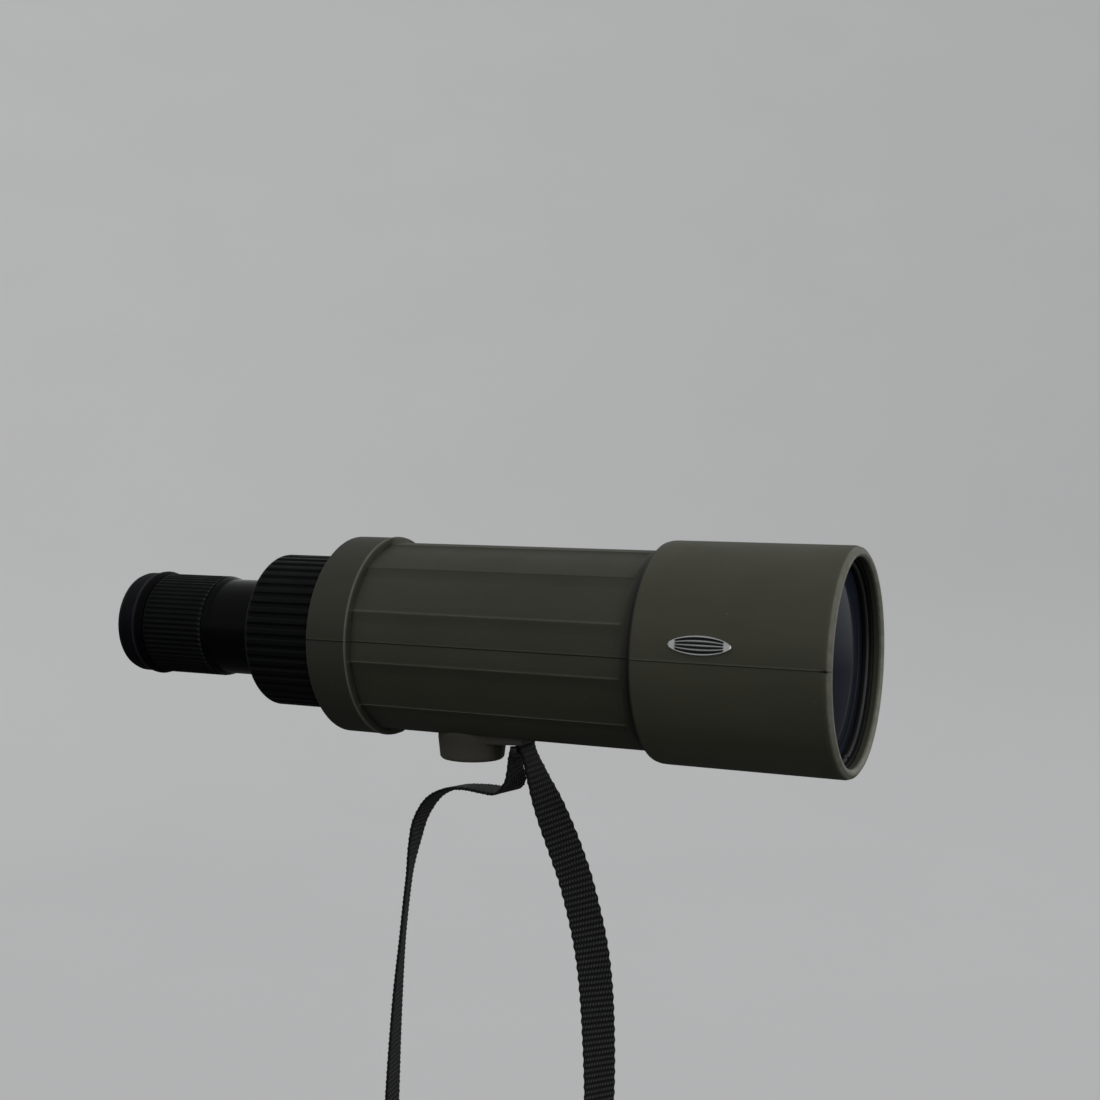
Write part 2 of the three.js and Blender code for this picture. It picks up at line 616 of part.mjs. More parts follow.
function addEyepieceBody() {
  const socket = [
    [SOCKET.rear, SOCKET.bore],
    [SOCKET.rear, SOCKET.flange],
    [SOCKET.shoulder, SOCKET.flange],
    [SOCKET.shoulder, SOCKET.radius],
    [SOCKET.front, SOCKET.radius],
    [SOCKET.front, SOCKET.bore],
  ];
  add("eyepiece_socket", turned(socket, FACETS.turning), MATERIALS.blackMetal);
  const { front, rear, radius, bore, flareFront, flareRadius } = EYEPIECE;
  const barrel = [
    [rear, bore],
    [rear, flareRadius],
    [rear + 1, flareRadius - 0.2],
    [flareFront, radius],
    [front, radius],
    [front, bore],
  ];
  add("eyepiece_barrel", turned(barrel, FACETS.turning), MATERIALS.plastic);
  const slots = ZOOM_GROUPS.map(({ x, travel, pinAngle }) => {
    const ends = [Math.min(x, x + travel) - 1.5, Math.max(x, x + travel) + 1.5];
    const halfWidth = ZOOM.pinRadius + GAP;
    return block(ends, [-halfWidth, halfWidth], [INNER_TUBE.bore - 2, REACH]).rotateX(radians(pinAngle - 90));
  });
  add("eyepiece_inner_tube", cut(ring(INNER_TUBE, FACETS.turning), ...slots), MATERIALS.aluminium);
  const { sag } = FIELD_LENS;
  add("field_lens", lens({ ...FIELD_LENS, frontSag: sag, rearSag: sag }, FIELD_LENS.radius), MATERIALS.glass);
  add("field_stop", ring(FIELD_STOP), MATERIALS.blackMetal);
}

function addZoom() {
  const rib = [[0, ZOOM_RING.radius], [0.5, ZOOM_RING.valley]];
  add("zoom_ring_grip", ribbedRing(ZOOM_RING, rib, FACETS.turning), MATERIALS.rubber);
  const slots = ZOOM_GROUPS.map(({ x, travel, pinAngle }) =>
    camGroove(
      new CamCurve({
        x,
        radius: ZOOM.slotCentre,
        pinAngle,
        from: -5,
        to: ZOOM.turn + 5,
        travelPerDegree: travel / ZOOM.turn,
      }),
      ZOOM.slotRadius,
      ZOOM.slotSteps,
    ),
  );
  add("zoom_cam_sleeve", cut(ring(ZOOM_SLEEVE, FACETS.turning), ...slots), MATERIALS.aluminium);
  for (const { name, x, pinAngle } of ZOOM_GROUPS) {
    const { length, radius, bore, lensRadius, lensLength, lensSag } = ZOOM_CELL;
    const cell = ring({ front: x + length / 2, rear: x - length / 2, radius, bore });
    const hole = radialRod(x, ZOOM.pinRadius + GAP, bore - 1, REACH, pinAngle);
    add(`zoom_cell_${name}`, cut(cell, hole), MATERIALS.blackMetal);
    const glass = {
      front: x + lensLength / 2,
      rear: x - lensLength / 2,
      frontSag: -lensSag,
      rearSag: -lensSag,
    };
    add(`zoom_lens_${name}`, lens(glass, lensRadius), MATERIALS.glass);
    const pin = radialRod(x, ZOOM.pinRadius, ZOOM.pinInner, ZOOM.pinOuter, pinAngle);
    add(`zoom_pin_${name}`, pin, MATERIALS.steel);
  }
}

function addEyeEnd() {
  const top = EYEPIECE_TOP;
  const outline = [
    [top.front, top.lip],
    [top.front, top.radius],
    [top.step, top.radius],
    [top.step, top.stepRadius],
    [top.rear, top.stepRadius],
    [top.rear, top.bore],
    [top.lipRear, top.bore],
    [top.lipRear, top.lip],
  ];
  add("eyepiece_top", turned(outline, FACETS.turning), MATERIALS.blackMetal);
  const { sag, radius } = EYE_LENS;
  add("eye_lens", lens({ ...EYE_LENS, frontSag: sag, rearSag: sag }, radius), MATERIALS.glass);
  add("eye_lens_retainer", ring(EYE_LENS_RING), MATERIALS.blackMetal);

  const cup = EYECUP;
  const cupOutline = [
    [cup.front, cup.bore],
    [cup.front, cup.radius - 0.3],
    [cup.beadCentre + 1.5, cup.bead - 0.4],
    [cup.beadCentre, cup.bead],
    [cup.beadCentre - 1.4, cup.bead - 0.2],
    [cup.beadCentre - 2.2, cup.bead - 0.6],
    [cup.beadCentre - 3.2, cup.radius],
    [cup.rear + 2.4, cup.radius - 0.1],
    [cup.rear + 0.6, cup.radius - 0.8],
    [cup.rear, cup.radius - 2.1],
    [cup.rear + 0.7, cup.radius - 3.3],
    [top.rear - 0.6, top.stepRadius - 2],
    [top.rear - GAP, top.stepRadius - 2],
    [top.rear - GAP, cup.bore],
  ];
  add("eyecup", turned(cupOutline, FACETS.turning), MATERIALS.rubber);
}

addHood();
addBadge();
addObjective();
addDrawTube();
addBarrel();
addMainTube();
addFoot();
addStrapBar();
addStrapWrap();
addStrap();
addPrisms();
addRearBody();
addFocusing();
addEyepieceBody();
addZoom();
addEyeEnd();

export default scope;
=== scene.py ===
"""The looks of a draw-tube spotting scope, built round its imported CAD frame. Metres, +Z up."""

import json
import math

import bmesh
import bpy
import numpy as np
from mathutils import Matrix, Vector


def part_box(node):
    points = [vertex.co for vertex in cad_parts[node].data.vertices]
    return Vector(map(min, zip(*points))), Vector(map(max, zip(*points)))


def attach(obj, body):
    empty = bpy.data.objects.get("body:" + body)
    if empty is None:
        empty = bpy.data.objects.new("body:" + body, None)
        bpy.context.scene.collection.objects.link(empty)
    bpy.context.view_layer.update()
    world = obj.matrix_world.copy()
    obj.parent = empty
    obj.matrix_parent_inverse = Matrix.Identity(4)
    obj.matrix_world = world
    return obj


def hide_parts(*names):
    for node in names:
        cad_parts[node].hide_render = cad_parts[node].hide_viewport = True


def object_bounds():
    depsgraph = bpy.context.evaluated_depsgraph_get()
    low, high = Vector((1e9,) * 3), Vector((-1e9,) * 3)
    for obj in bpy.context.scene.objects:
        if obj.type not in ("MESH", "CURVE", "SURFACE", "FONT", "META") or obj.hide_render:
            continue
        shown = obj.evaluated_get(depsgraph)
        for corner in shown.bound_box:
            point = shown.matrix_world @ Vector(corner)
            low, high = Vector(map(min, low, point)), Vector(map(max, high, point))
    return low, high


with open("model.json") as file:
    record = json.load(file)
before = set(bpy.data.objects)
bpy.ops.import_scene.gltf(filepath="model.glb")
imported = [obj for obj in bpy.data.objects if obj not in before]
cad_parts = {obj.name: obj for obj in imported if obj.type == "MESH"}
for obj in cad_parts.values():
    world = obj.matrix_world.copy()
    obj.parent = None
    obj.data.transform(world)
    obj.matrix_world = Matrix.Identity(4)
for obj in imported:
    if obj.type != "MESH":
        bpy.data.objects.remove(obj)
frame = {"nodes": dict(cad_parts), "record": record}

CAD_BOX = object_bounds()
MM = 0.001
RECORD = frame["record"]
NODES = frame["nodes"]
BODY_OF = {n: body for body, nodes in RECORD["behaviour"]["bodies"].items() for n in nodes}
SLOT_OF = {row["node"]: row["material_slot"] for row in RECORD["subparts"]}
AXIS_Z = sum(corner.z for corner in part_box("hood_armour")) / 2


# ---------------------------------------------------------------- camera

CAMERA_PLACE = (0.314087, -0.613060, 0.121306)
CAMERA_YAW = 24.369  # degrees left of straight across the scope
CAMERA_PITCH = 2.427  # degrees down
CAMERA_ROLL = 0.711
CAMERA_LENS = 51.29


def add_camera():
    yaw, pitch, roll = (math.radians(a) for a in (CAMERA_YAW, CAMERA_PITCH, CAMERA_ROLL))
    forward = Vector((
        -math.sin(yaw) * math.cos(pitch),
        math.cos(yaw) * math.cos(pitch),
        -math.sin(pitch),
    ))
    right = Vector((math.cos(yaw), math.sin(yaw), 0))
    up = right.cross(forward)
    tilted_right = math.cos(roll) * right + math.sin(roll) * up
    tilted_up = math.cos(roll) * up - math.sin(roll) * right
    camera = bpy.data.objects.new("camera", bpy.data.cameras.new("camera"))
    bpy.context.scene.collection.objects.link(camera)
    axes = Matrix((tilted_right, tilted_up, -forward)).transposed()
    camera.matrix_world = Matrix.Translation(CAMERA_PLACE) @ axes.to_4x4()
    camera.data.lens = CAMERA_LENS
    camera.data.sensor_width = 36
    camera.data.clip_start = 0.01
    bpy.context.scene.camera = camera


add_camera()


# ---------------------------------------------------------------- materials

class Nodes:
    """A material's node tree, with a short way to add nodes and join them."""

    def __init__(self, name):
        self.material = bpy.data.materials.new(name)
        self.material.use_nodes = True
        self.tree = self.material.node_tree
        self.shader = self.tree.nodes["Principled BSDF"]

    def add(self, kind, inputs=None, **settings):
        node = self.tree.nodes.new("ShaderNode" + kind)
        for key, value in settings.items():
            setattr(node, key, value)
        self.fill(node, inputs or {})
        return node

    def fill(self, node, inputs):
        for key, value in inputs.items():
            if isinstance(value, bpy.types.NodeSocket):
                self.tree.links.new(value, node.inputs[key])
            else:
                node.inputs[key].default_value = value

    def set(self, **inputs):
        self.fill(self.shader, {key.replace("_", " "): value for key, value in inputs.items()})

    def place(self):
        return self.add("TexCoord").outputs["Object"]

    def stretched(self, scale):
        return self.add("Mapping", {"Vector": self.place(), "Scale": scale}).outputs["Vector"]

    def noise(self, scale, detail=3.0, vector=None, roughness=0.55):
        inputs = {"Scale": scale, "Detail": detail, "Roughness": roughness, "Vector": vector or self.place()}
        return self.add("TexNoise", inputs).outputs["Fac"]

    def ramp(self, value, *stops):
        """Turns a value into another by a row of (place, grey or colour) stops."""
        node = self.add("ValToRGB", {"Fac": value})
        elements = node.color_ramp.elements
        while len(elements) < len(stops):
            elements.new(0.5)
        for element, (place, colour) in zip(elements, stops):
            element.position = place
            element.color = (colour,) * 3 + (1,) if isinstance(colour, (int, float)) else (*colour, 1)
        return node.outputs["Color"]

    def mix(self, share, a, b, blend="MIX"):
        node = self.add("Mix", data_type="RGBA", blend_type=blend)
        self.fill(node, {0: share, 6: a, 7: b})
        return node.outputs[2]

    def math(self, operation, *values):
        return self.add("Math", dict(enumerate(values)), operation=operation).outputs[0]

    def wear_and_painted_light(self, strength=1.0):
        """How rubbed a place is, or how much painted highlight it carries, from its mesh, in patches."""
        attribute = self.add("Attribute", attribute_name="wear_and_painted_light").outputs["Fac"]
        patches = self.ramp(self.noise(260, 3), (0.3, 0.6 * strength), (0.7, strength))
        return self.math("MULTIPLY", self.math("MAXIMUM", attribute, 0.0), patches)

    def dark_tone_and_painted_shade(self):
        """How dark a place is made: painted shade in crevices, gaps and valleys, and darker tone such as dirt
        or a dark field. The negative side of the same attribute.
        """
        attribute = self.add("Attribute", attribute_name="wear_and_painted_light").outputs["Fac"]
        return self.math("MAXIMUM", self.math("MULTIPLY", attribute, -1.0), 0.0)

    def bump(self, height, distance, strength=1.0, under=None):
        inputs = {"Height": height, "Distance": distance, "Strength": strength}
        if under:
            inputs["Normal"] = under
        return self.add("Bump", inputs).outputs["Normal"]


def rgba(red, green, blue):
    return (red, green, blue, 1)


def scaled(colour, factor):
    return tuple(channel * factor for channel in colour)


def armour_material(name, base, pale, roughness):
    """Moulded rubber armour: cloudy colour, pale rubbed crests, pale painted highlights on rims and ridges,
    painted shade in crevices, dirt and a fine grain.
    """
    n = Nodes(name)
    clouds = n.ramp(n.noise(22, 5), (0.3, scaled(base, 0.92)), (0.7, scaled(base, 1.08)))
    streaks = n.ramp(n.noise(60, 4, n.stretched((0.12, 1, 1))), (0.35, 0.94), (0.65, 1.05))
    streaked = n.mix(1.0, clouds, streaks, "MULTIPLY")
    # Pale where rubbed, and where a highlight is painted on rims, ridges and seam lips.
    worn = n.mix(n.wear_and_painted_light(), streaked, rgba(*pale))
    specks = n.ramp(n.noise(520, 1), (0.8, 0.0), (0.84, 0.3))
    dusty = n.mix(specks, worn, rgba(*pale))
    # Near-black where shade is painted into crevices, gaps, hollows and seam grooves, and where dirt darkens
    # the barrel and collar.
    colour = n.mix(n.dark_tone_and_painted_shade(), dusty, rgba(0.004, 0.004, 0.0035))
    polish = n.ramp(n.noise(35, 4), (0.3, roughness - 0.06), (0.7, roughness + 0.06))
    grain = n.bump(n.noise(2600, 2), 0.05 * MM, 0.6)
    skin = n.bump(n.noise(420, 3), 0.08 * MM, 0.3, grain)
    n.set(Base_Color=colour, Roughness=polish, Normal=skin, Specular_IOR_Level=0.3)
    return n.material


def rubber_material(name, base, grain_scale, grain_depth, roughness):
    """Black moulded rubber with a stippled skin, crests greyed by rubbing and by painted highlights, and
    painted shade in its hollows.
    """
    n = Nodes(name)
    clouds = n.ramp(n.noise(60, 4), (0.3, scaled(base, 0.85)), (0.7, scaled(base, 1.3)))
    # Greyed where rubbed, and where a highlight is painted on ring edges and the eyecup's bead.
    worn = n.mix(n.wear_and_painted_light(), clouds, rgba(*scaled(base, 8)))
    dust = n.ramp(n.noise(900, 2), (0.76, 0.0), (0.84, 0.25))
    dusty = n.mix(dust, worn, rgba(0.02, 0.0205, 0.022))
    # Near-black where shade is painted between ribs and in front of the eyecup's bead.
    colour = n.mix(n.dark_tone_and_painted_shade(), dusty, rgba(0.0008, 0.0008, 0.001))
    polish = n.ramp(n.noise(90, 3), (0.3, roughness - 0.07), (0.7, roughness + 0.07))
    stipple = n.bump(n.noise(grain_scale, 2), grain_depth, 0.9)
    n.set(Base_Color=colour, Roughness=polish, Normal=stipple, Specular_IOR_Level=0.05)
    return n.material


def gloss_material():
    """Polished black lacquer with faint swirls and finger haze."""
    n = Nodes("gloss_black")
    colour = n.ramp(n.noise(30, 3), (0.3, (0.003, 0.0031, 0.0036)), (0.7, (0.004, 0.0042, 0.005)))
    haze = n.ramp(n.noise(70, 5), (0.35, 0.16), (0.7, 0.26))
    swirls = n.bump(n.noise(900, 2, n.stretched((1, 0.1, 0.1))), 0.01 * MM, 0.4)
    n.set(Base_Color=colour, Roughness=haze, Normal=swirls, Specular_IOR_Level=0.05)
    return n.material


def anodised_material():
    """Matt black anodised metal with fine turning marks round the axis."""
    n = Nodes("black_anodised")
    rings = n.noise(1400, 3, n.stretched((1, 0.02, 0.02)))
    colour = n.ramp(rings, (0.3, (0.005, 0.0052, 0.006)), (0.7, (0.01, 0.0103, 0.012)))
    worn = n.mix(n.wear_and_painted_light(), colour, rgba(0.09, 0.092, 0.098))
    polish = n.ramp(n.noise(50, 4), (0.3, 0.4), (0.7, 0.54))
    n.set(Base_Color=worn, Roughness=polish, Normal=n.bump(rings, 0.02 * MM, 0.8), Specular_IOR_Level=0.3)
    return n.material


def wire_material():
    """Black lacquered wire."""
    n = Nodes("black_wire")
    colour = n.ramp(n.noise(300, 3), (0.3, (0.009, 0.009, 0.01)), (0.7, (0.02, 0.02, 0.021)))
    n.set(Base_Color=colour, Roughness=n.ramp(n.noise(500, 3), (0.3, 0.3), (0.7, 0.5)))
    n.set(Normal=n.bump(n.noise(1500, 2), 0.02 * MM, 0.6))
    return n.material


def aluminium_material():
    """Bare aluminium with fine turning marks round the axis."""
    n = Nodes("machined_aluminium")
    rings = n.noise(1800, 4, n.stretched((1, 0.01, 0.01)))
    colour = n.ramp(rings, (0.3, (0.52, 0.53, 0.54)), (0.7, (0.7, 0.71, 0.72)))
    n.set(Base_Color=colour, Roughness=n.ramp(n.noise(80, 3), (0.3, 0.26), (0.7, 0.4)), Metallic=1.0)
    n.set(Normal=n.bump(rings, 0.02 * MM, 0.7))
    return n.material


def steel_material():
    """Turned steel, a little darkened in patches."""
    n = Nodes("steel_hardware")
    colour = n.ramp(n.noise(260, 4), (0.3, (0.32, 0.32, 0.33)), (0.7, (0.55, 0.55, 0.56)))
    n.set(Base_Color=colour, Roughness=n.ramp(n.noise(400, 3), (0.3, 0.24), (0.7, 0.42)), Metallic=1.0)
    n.set(Normal=n.bump(n.noise(2500, 2), 0.01 * MM, 0.6))
    return n.material


def badge_material():
    """Silver badge metal, brushed along its length and darkened in its sunk field."""
    n = Nodes("badge_metal")
    brushed = n.noise(1600, 3, n.stretched((0.03, 1, 1)))
    silver = n.ramp(brushed, (0.3, (0.4, 0.41, 0.395)), (0.7, (0.58, 0.59, 0.575)))
    colour = n.mix(n.dark_tone_and_painted_shade(), silver, rgba(0.004, 0.0045, 0.006))
    n.set(Base_Color=colour, Roughness=n.ramp(brushed, (0.3, 0.24), (0.7, 0.38)), Metallic=0.85)
    n.set(Normal=n.bump(brushed, 0.01 * MM, 0.6))
    return n.material


def plastic_material():
    """Matt black acetal."""
    n = Nodes("guide_plastic")
    colour = n.ramp(n.noise(90, 4), (0.3, (0.035, 0.035, 0.036)), (0.7, (0.055, 0.055, 0.056)))
    n.set(Base_Color=colour, Roughness=0.5, Normal=n.bump(n.noise(1200, 2), 0.02 * MM, 0.6))
    return n.material


def glass_material(name, tint, sheen, clear):
    """Polished lens glass. Its coating tints what it mirrors, by one colour face on and another aslant."""
    n = Nodes(name)
    tilt = n.add("LayerWeight", {"Blend": 0.35}).outputs["Facing"]
    coating = n.ramp(tilt, (0.0, sheen[0]), (0.6, sheen[1]))
    smears = n.ramp(n.noise(40, 4), (0.4, 0.015), (0.75, 0.06))
    n.set(Base_Color=rgba(*tint), Roughness=smears, Specular_Tint=coating, Specular_IOR_Level=0.02)
    n.set(Transmission_Weight=clear, IOR=1.52)
    return n.material


YARNS = 6  # pairs of yarns across half the webbing
YARN_SLANT = 0.2  # how far they slant over one cross rib, in pairs


def webbing_material():
    """Black nylon yarn: twisted threads with a soft sheen, high spots greyed by rubbing and by a painted
    highlight, and painted shade in the sunk places.
    """
    n = Nodes("webbing")
    weave = n.add("SeparateXYZ", {"Vector": n.add("Attribute", attribute_name="weave").outputs["Vector"]})
    across, ribs = weave.outputs["X"], weave.outputs["Y"]
    slanted = n.math("ADD", n.math("MULTIPLY", across, YARNS), n.math("MULTIPLY", ribs, YARN_SLANT))
    staggered = n.math("ADD", slanted, n.math("MULTIPLY", n.math("ROUND", ribs), 0.5 - YARN_SLANT))
    wave = n.math("COSINE", n.math("MULTIPLY", staggered, 2 * math.pi))
    yarn = n.math("MULTIPLY_ADD", wave, 0.5, 0.5)
    fluff = n.noise(1300, 3, n.stretched((1, 1, 0.5)))
    dark = n.ramp(fluff, (0.3, (0.0025, 0.0025, 0.003)), (0.7, (0.007, 0.007, 0.0075)))
    # Yarn crowns greyed by rubbing and by a painted highlight.
    colour = n.mix(n.math("MULTIPLY", yarn, n.wear_and_painted_light()), dark, rgba(0.078, 0.08, 0.085))
    # Painted shade in the valleys between the cross ribs.
    sunk = n.mix(n.dark_tone_and_painted_shade(), colour, rgba(0.001, 0.001, 0.001))
    rounds = n.bump(yarn, 0.35 * MM, 0.7, n.bump(fluff, 0.1 * MM, 0.6))
    n.set(Base_Color=sunk, Roughness=0.7, Normal=rounds, Specular_IOR_Level=0.25)
    n.set(Sheen_Weight=0.06, Sheen_Roughness=0.4)
    return n.material


OLIVE = (0.064, 0.064, 0.043)
FOOT_OLIVE = (0.07, 0.067, 0.052)
GREEN_SHEEN = ((0.5, 0.8, 0.6), (0.5, 0.6, 0.9))
BLUE_SHEEN = ((0.35, 0.45, 1.0), (0.3, 0.75, 0.9))
MATERIALS = {
    "armour": armour_material("armour", OLIVE, (0.3, 0.3, 0.255), 0.62),
    "foot_coat": armour_material("foot_coat", FOOT_OLIVE, (0.22, 0.215, 0.18), 0.58),
    "badge_metal": badge_material(),
    "grip_rubber": rubber_material("grip_rubber", (0.0056, 0.006, 0.0062), 1500, 0.05 * MM, 0.5),
    "gloss_black": gloss_material(),
    "guide_plastic": plastic_material(),
    "black_anodised": anodised_material(),
    "black_wire": wire_material(),
    "machined_aluminium": aluminium_material(),
    "steel_hardware": steel_material(),
    "optical_glass": glass_material("optical_glass", (0.93, 0.96, 0.97), GREEN_SHEEN, 1.0),
    "coated_glass": glass_material("coated_glass", (0.018, 0.0225, 0.037), BLUE_SHEEN, 0.25),
    "webbing": webbing_material(),
}
STIPPLED = rubber_material("stippled_rubber", (0.005, 0.0052, 0.0068), 1700, 0.16 * MM, 0.58)


# ---------------------------------------------------------------- mesh building

def piece_from(name, points, faces, wear_and_painted_light=None, weave=None):
    """A smooth-shaded object from its points and faces, with the normals turned outwards."""
    mesh = bpy.data.meshes.new(name)
    mesh.from_pydata([tuple(p) for p in points], [], faces)
    if wear_and_painted_light is not None:
        # This attribute holds rubbing and dirt, and also painted highlights and painted shade.
        rubbed = mesh.attributes.new("wear_and_painted_light", "FLOAT", "POINT").data
        rubbed.foreach_set("value", np.asarray(wear_and_painted_light, np.float32))
    if weave is not None:
        places = mesh.attributes.new("weave", "FLOAT_VECTOR", "POINT").data
        places.foreach_set("vector", weave.astype(np.float32))
    work = bmesh.new()
    work.from_mesh(mesh)
    bmesh.ops.remove_doubles(work, verts=work.verts, dist=1e-7)
    bmesh.ops.recalc_face_normals(work, faces=work.faces)
    for face in work.faces:
        face.smooth = True
    work.to_mesh(mesh)
    work.free()
    piece = bpy.data.objects.new(name, mesh)
    bpy.context.scene.collection.objects.link(piece)
    piece.modifiers.new("even_normals", "WEIGHTED_NORMAL").keep_sharp = True
    return piece


def dress(piece, *nodes, material=None):
    """The piece stands for these CAD nodes: it takes the first one's body, and the material of that node's
    slot.
    """
    slot = SLOT_OF[nodes[0]]
    piece.data.materials.clear()
    piece.data.materials.append(material or MATERIALS[slot])
    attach(piece, BODY_OF[nodes[0]])
    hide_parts(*nodes)
    return piece


def grid_faces(rows, columns, closed_rows=True, closed_columns=True):
    """Quads of a grid of points, which may close on itself either way."""
    last_row = rows if closed_rows else rows - 1
    last_column = columns if closed_columns else columns - 1
    faces = []
    for i in range(last_row):
        below = ((i + 1) % rows) * columns
        for j in range(last_column):
            k = (j + 1) % columns
            faces.append((i * columns + j, i * columns + k, below + k, below + j))
    return faces


def outline_of(node, angle=91.0):
    """The corners of a turned node's section at an angle from +Y towards +Z, as rows of (x, radius)."""
    turn = math.radians(angle)
    outward = Vector((0, math.cos(turn), math.sin(turn)))
    across = Vector((0, -math.sin(turn), math.cos(turn)))
    centre = Vector((0, 0, AXIS_Z))
    work = bmesh.new()
    work.from_mesh(NODES[node].data)
    bmesh.ops.remove_doubles(work, verts=work.verts, dist=1e-6)
    everything = work.verts[:] + work.edges[:] + work.faces[:]
    halved = bmesh.ops.bisect_plane(work, geom=everything, dist=1e-8, plane_co=centre, plane_no=across)
    links = {}
    for edge in halved["geom_cut"]:
        if isinstance(edge, bmesh.types.BMEdge) and all((v.co - centre).dot(outward) > 0 for v in edge.verts):
            a, b = edge.verts
            links.setdefault(a, []).append(b)
            links.setdefault(b, []).append(a)
    start = min(links, key=lambda v: (round(v.co.x, 7), v.co.z))
    loop = [start]
    before, here = None, start
    while True:
        ahead = [v for v in links[here] if v is not before][0]
        if ahead is start:
            break
        loop.append(ahead)
        before, here = here, ahead
    corners = [np.array((v.co.x, (v.co - centre).dot(outward))) for v in loop]
    work.free()
    return [p for i, p in enumerate(corners) if bends(corners[i - 1], p, corners[(i + 1) % len(corners)])]


def bends(before, here, ahead):
    first, second = here - before, ahead - here
    turn = first[0] * second[1] - first[1] * second[0]
    return abs(turn) > 1e-3 * np.linalg.norm(first) * np.linalg.norm(second)


def rounded(corners, fillet, steps=4):
    """A closed outline with its corners rounded to a fillet that their sides have room for."""
    outline = []
    for i, corner in enumerate(corners):
        to_before = corners[i - 1] - corner
        to_ahead = corners[(i + 1) % len(corners)] - corner
        sides = np.linalg.norm(to_before), np.linalg.norm(to_ahead)
        u, v = to_before / sides[0], to_ahead / sides[1]
        half = math.acos(np.clip(u @ v, -1, 1)) / 2
        reach = min(fillet / math.tan(half), 0.45 * min(sides))
        radius = reach * math.tan(half)
        middle = corner + (u + v) / np.linalg.norm(u + v) * radius / math.sin(half)
        start, end = corner + u * reach - middle, corner + v * reach - middle
        sweep = math.pi - 2 * half
        for step in range(steps + 1):
            share = step / steps
            weights = math.sin((1 - share) * sweep), math.sin(share * sweep)
            outline.append(middle + (weights[0] * start + weights[1] * end) / math.sin(sweep))
    return outline


def dense(outline, step, beyond=0.0, between=(-1, 1)):
    """The outline with more points along each side that lies beyond a radius, between two places in x."""
    filled = []
    for i, here in enumerate(outline):
        ahead = outline[(i + 1) % len(outline)]
        inside = min(here[1], ahead[1]) > beyond and between[0] < (here[0] + ahead[0]) / 2 < between[1]
        parts = max(1, math.ceil(np.linalg.norm(ahead - here) / step)) if inside else 1
        filled += [here + (ahead - here) * k / parts for k in range(parts)]
    return filled


def revolved(name, outline, angles, change=None):
    """A turned piece. change(x, radius, angle) may move its points and say where it is worn."""
    x, radius = np.array(outline).T[:, :, None]
    angle = np.asarray(angles)[None, :]
    x, radius = np.broadcast_arrays(x + 0 * angle, radius + 0 * angle)
    wear_and_painted_light = np.zeros_like(x)
    if change:
        x, radius, wear_and_painted_light = change(x, radius, np.broadcast_to(angle, x.shape))
    points = np.stack([x, radius * np.cos(angle), AXIS_Z + radius * np.sin(angle)], axis=-1).reshape(-1, 3)
    return piece_from(name, points, grid_faces(*x.shape), wear_and_painted_light.ravel())


def even(count):
    return np.arange(count) * 2 * math.pi / count


def turned(node, fillet=0.25 * MM, count=192, step=None, beyond=0.0, angles=None, change=None,
           material=None, close=None):
    """Stands for a turned node, with its section rounded and finely stepped, and more so at close."""
    outline = rounded(outline_of(node), fillet)
    if step:
        outline = dense(outline, step, beyond)
    if close:
        outline = dense(outline, 0.3 * MM, between=close)
    piece = revolved(node + "_fine", outline, even(count) if angles is None else angles, change)
    return dress(piece, node, material=material)


def smooth(low, high, value):
    share = np.clip((value - low) / (high - low), 0, 1)
    return share * share * (3 - 2 * share)


def bell(value, width):
    return np.exp(-((value / width) ** 2))


# ---------------------------------------------------------------- carrying strap

# The strap's route, repeated from the CAD: a point on its centre line, then the way its width points there.
STRAP_ROUTE = [
    (28.6, 0, 1.9, 0, 1, 0),
    (33, 0, -8.5, 0.25, 0.95, 0.1),
    (37.7, 0, -18.8, 0.55, 0.8, 0.25),
    (46.6, -1, -37.8, 0.8, 0.45, 0.35),
    (51.8, -2, -50, 0.85, 0.38, 0.3),
    (60, -3, -80, 0.85, 0.45, 0.2),
    (64, -4, -120, 0.7, 0.7, 0),
    (64, -4, -170, 0.4, 0.9, 0),
    (60, -3, -230, 0.1, 1, 0),
    (52, -1, -290, 0, 1, 0),
    (40, 2, -345, 0, 1, 0),
    (20, 6, -385, 0, 1, 0),
    (-3, 10, -395, 0, 1, 0),
    (-25, 13, -383, 0, 1, 0),
    (-42, 16, -345, 0, 1, 0),
    (-50, 19, -290, 0, 1, 0),
    (-53, 21, -230, 0, 1, 0),
    (-52, 22, -170, -0.1, 1, 0),
    (-50, 23, -120, -0.25, 1, 0),
    (-48, 24.5, -88, -0.35, 0.95, 0),
    (-46, 26, -64, -0.33, 0.95, 0),
    (-43.6, 27, -47, -0.12, 1, 0),
    (-40.8, 27.5, -36, 0, 1, 0),
    (-33.5, 27.2, -25.5, 0.1, 1, 0),
    (-22.5, 25.3, -20, 0.3, 0.95, 0),
    (-10, 21.5, -17.8, 0.45, 0.9, 0),
    (2, 16.2, -17, 0.5, 0.85, 0.05),
    (11.5, 10, -15.5, 0.5, 0.85, 0.1),
    (17, 4.8, -12, 0.35, 0.9, 0.1),
    (19.8, 1.4, -7.5, 0.12, 1, 0),
    (20.85, 0.1, -3, 0, 1, 0),
    (21.15, 0, 0.2, 0, 1, 0),
]
STRAP_WIDTH = 15 * MM
STRAP_THICKNESS = 1.5 * MM
RIB_PITCH = 2.3 * MM  # from one cross rib of the weave to the next
STATIONS_PER_RIB = 8


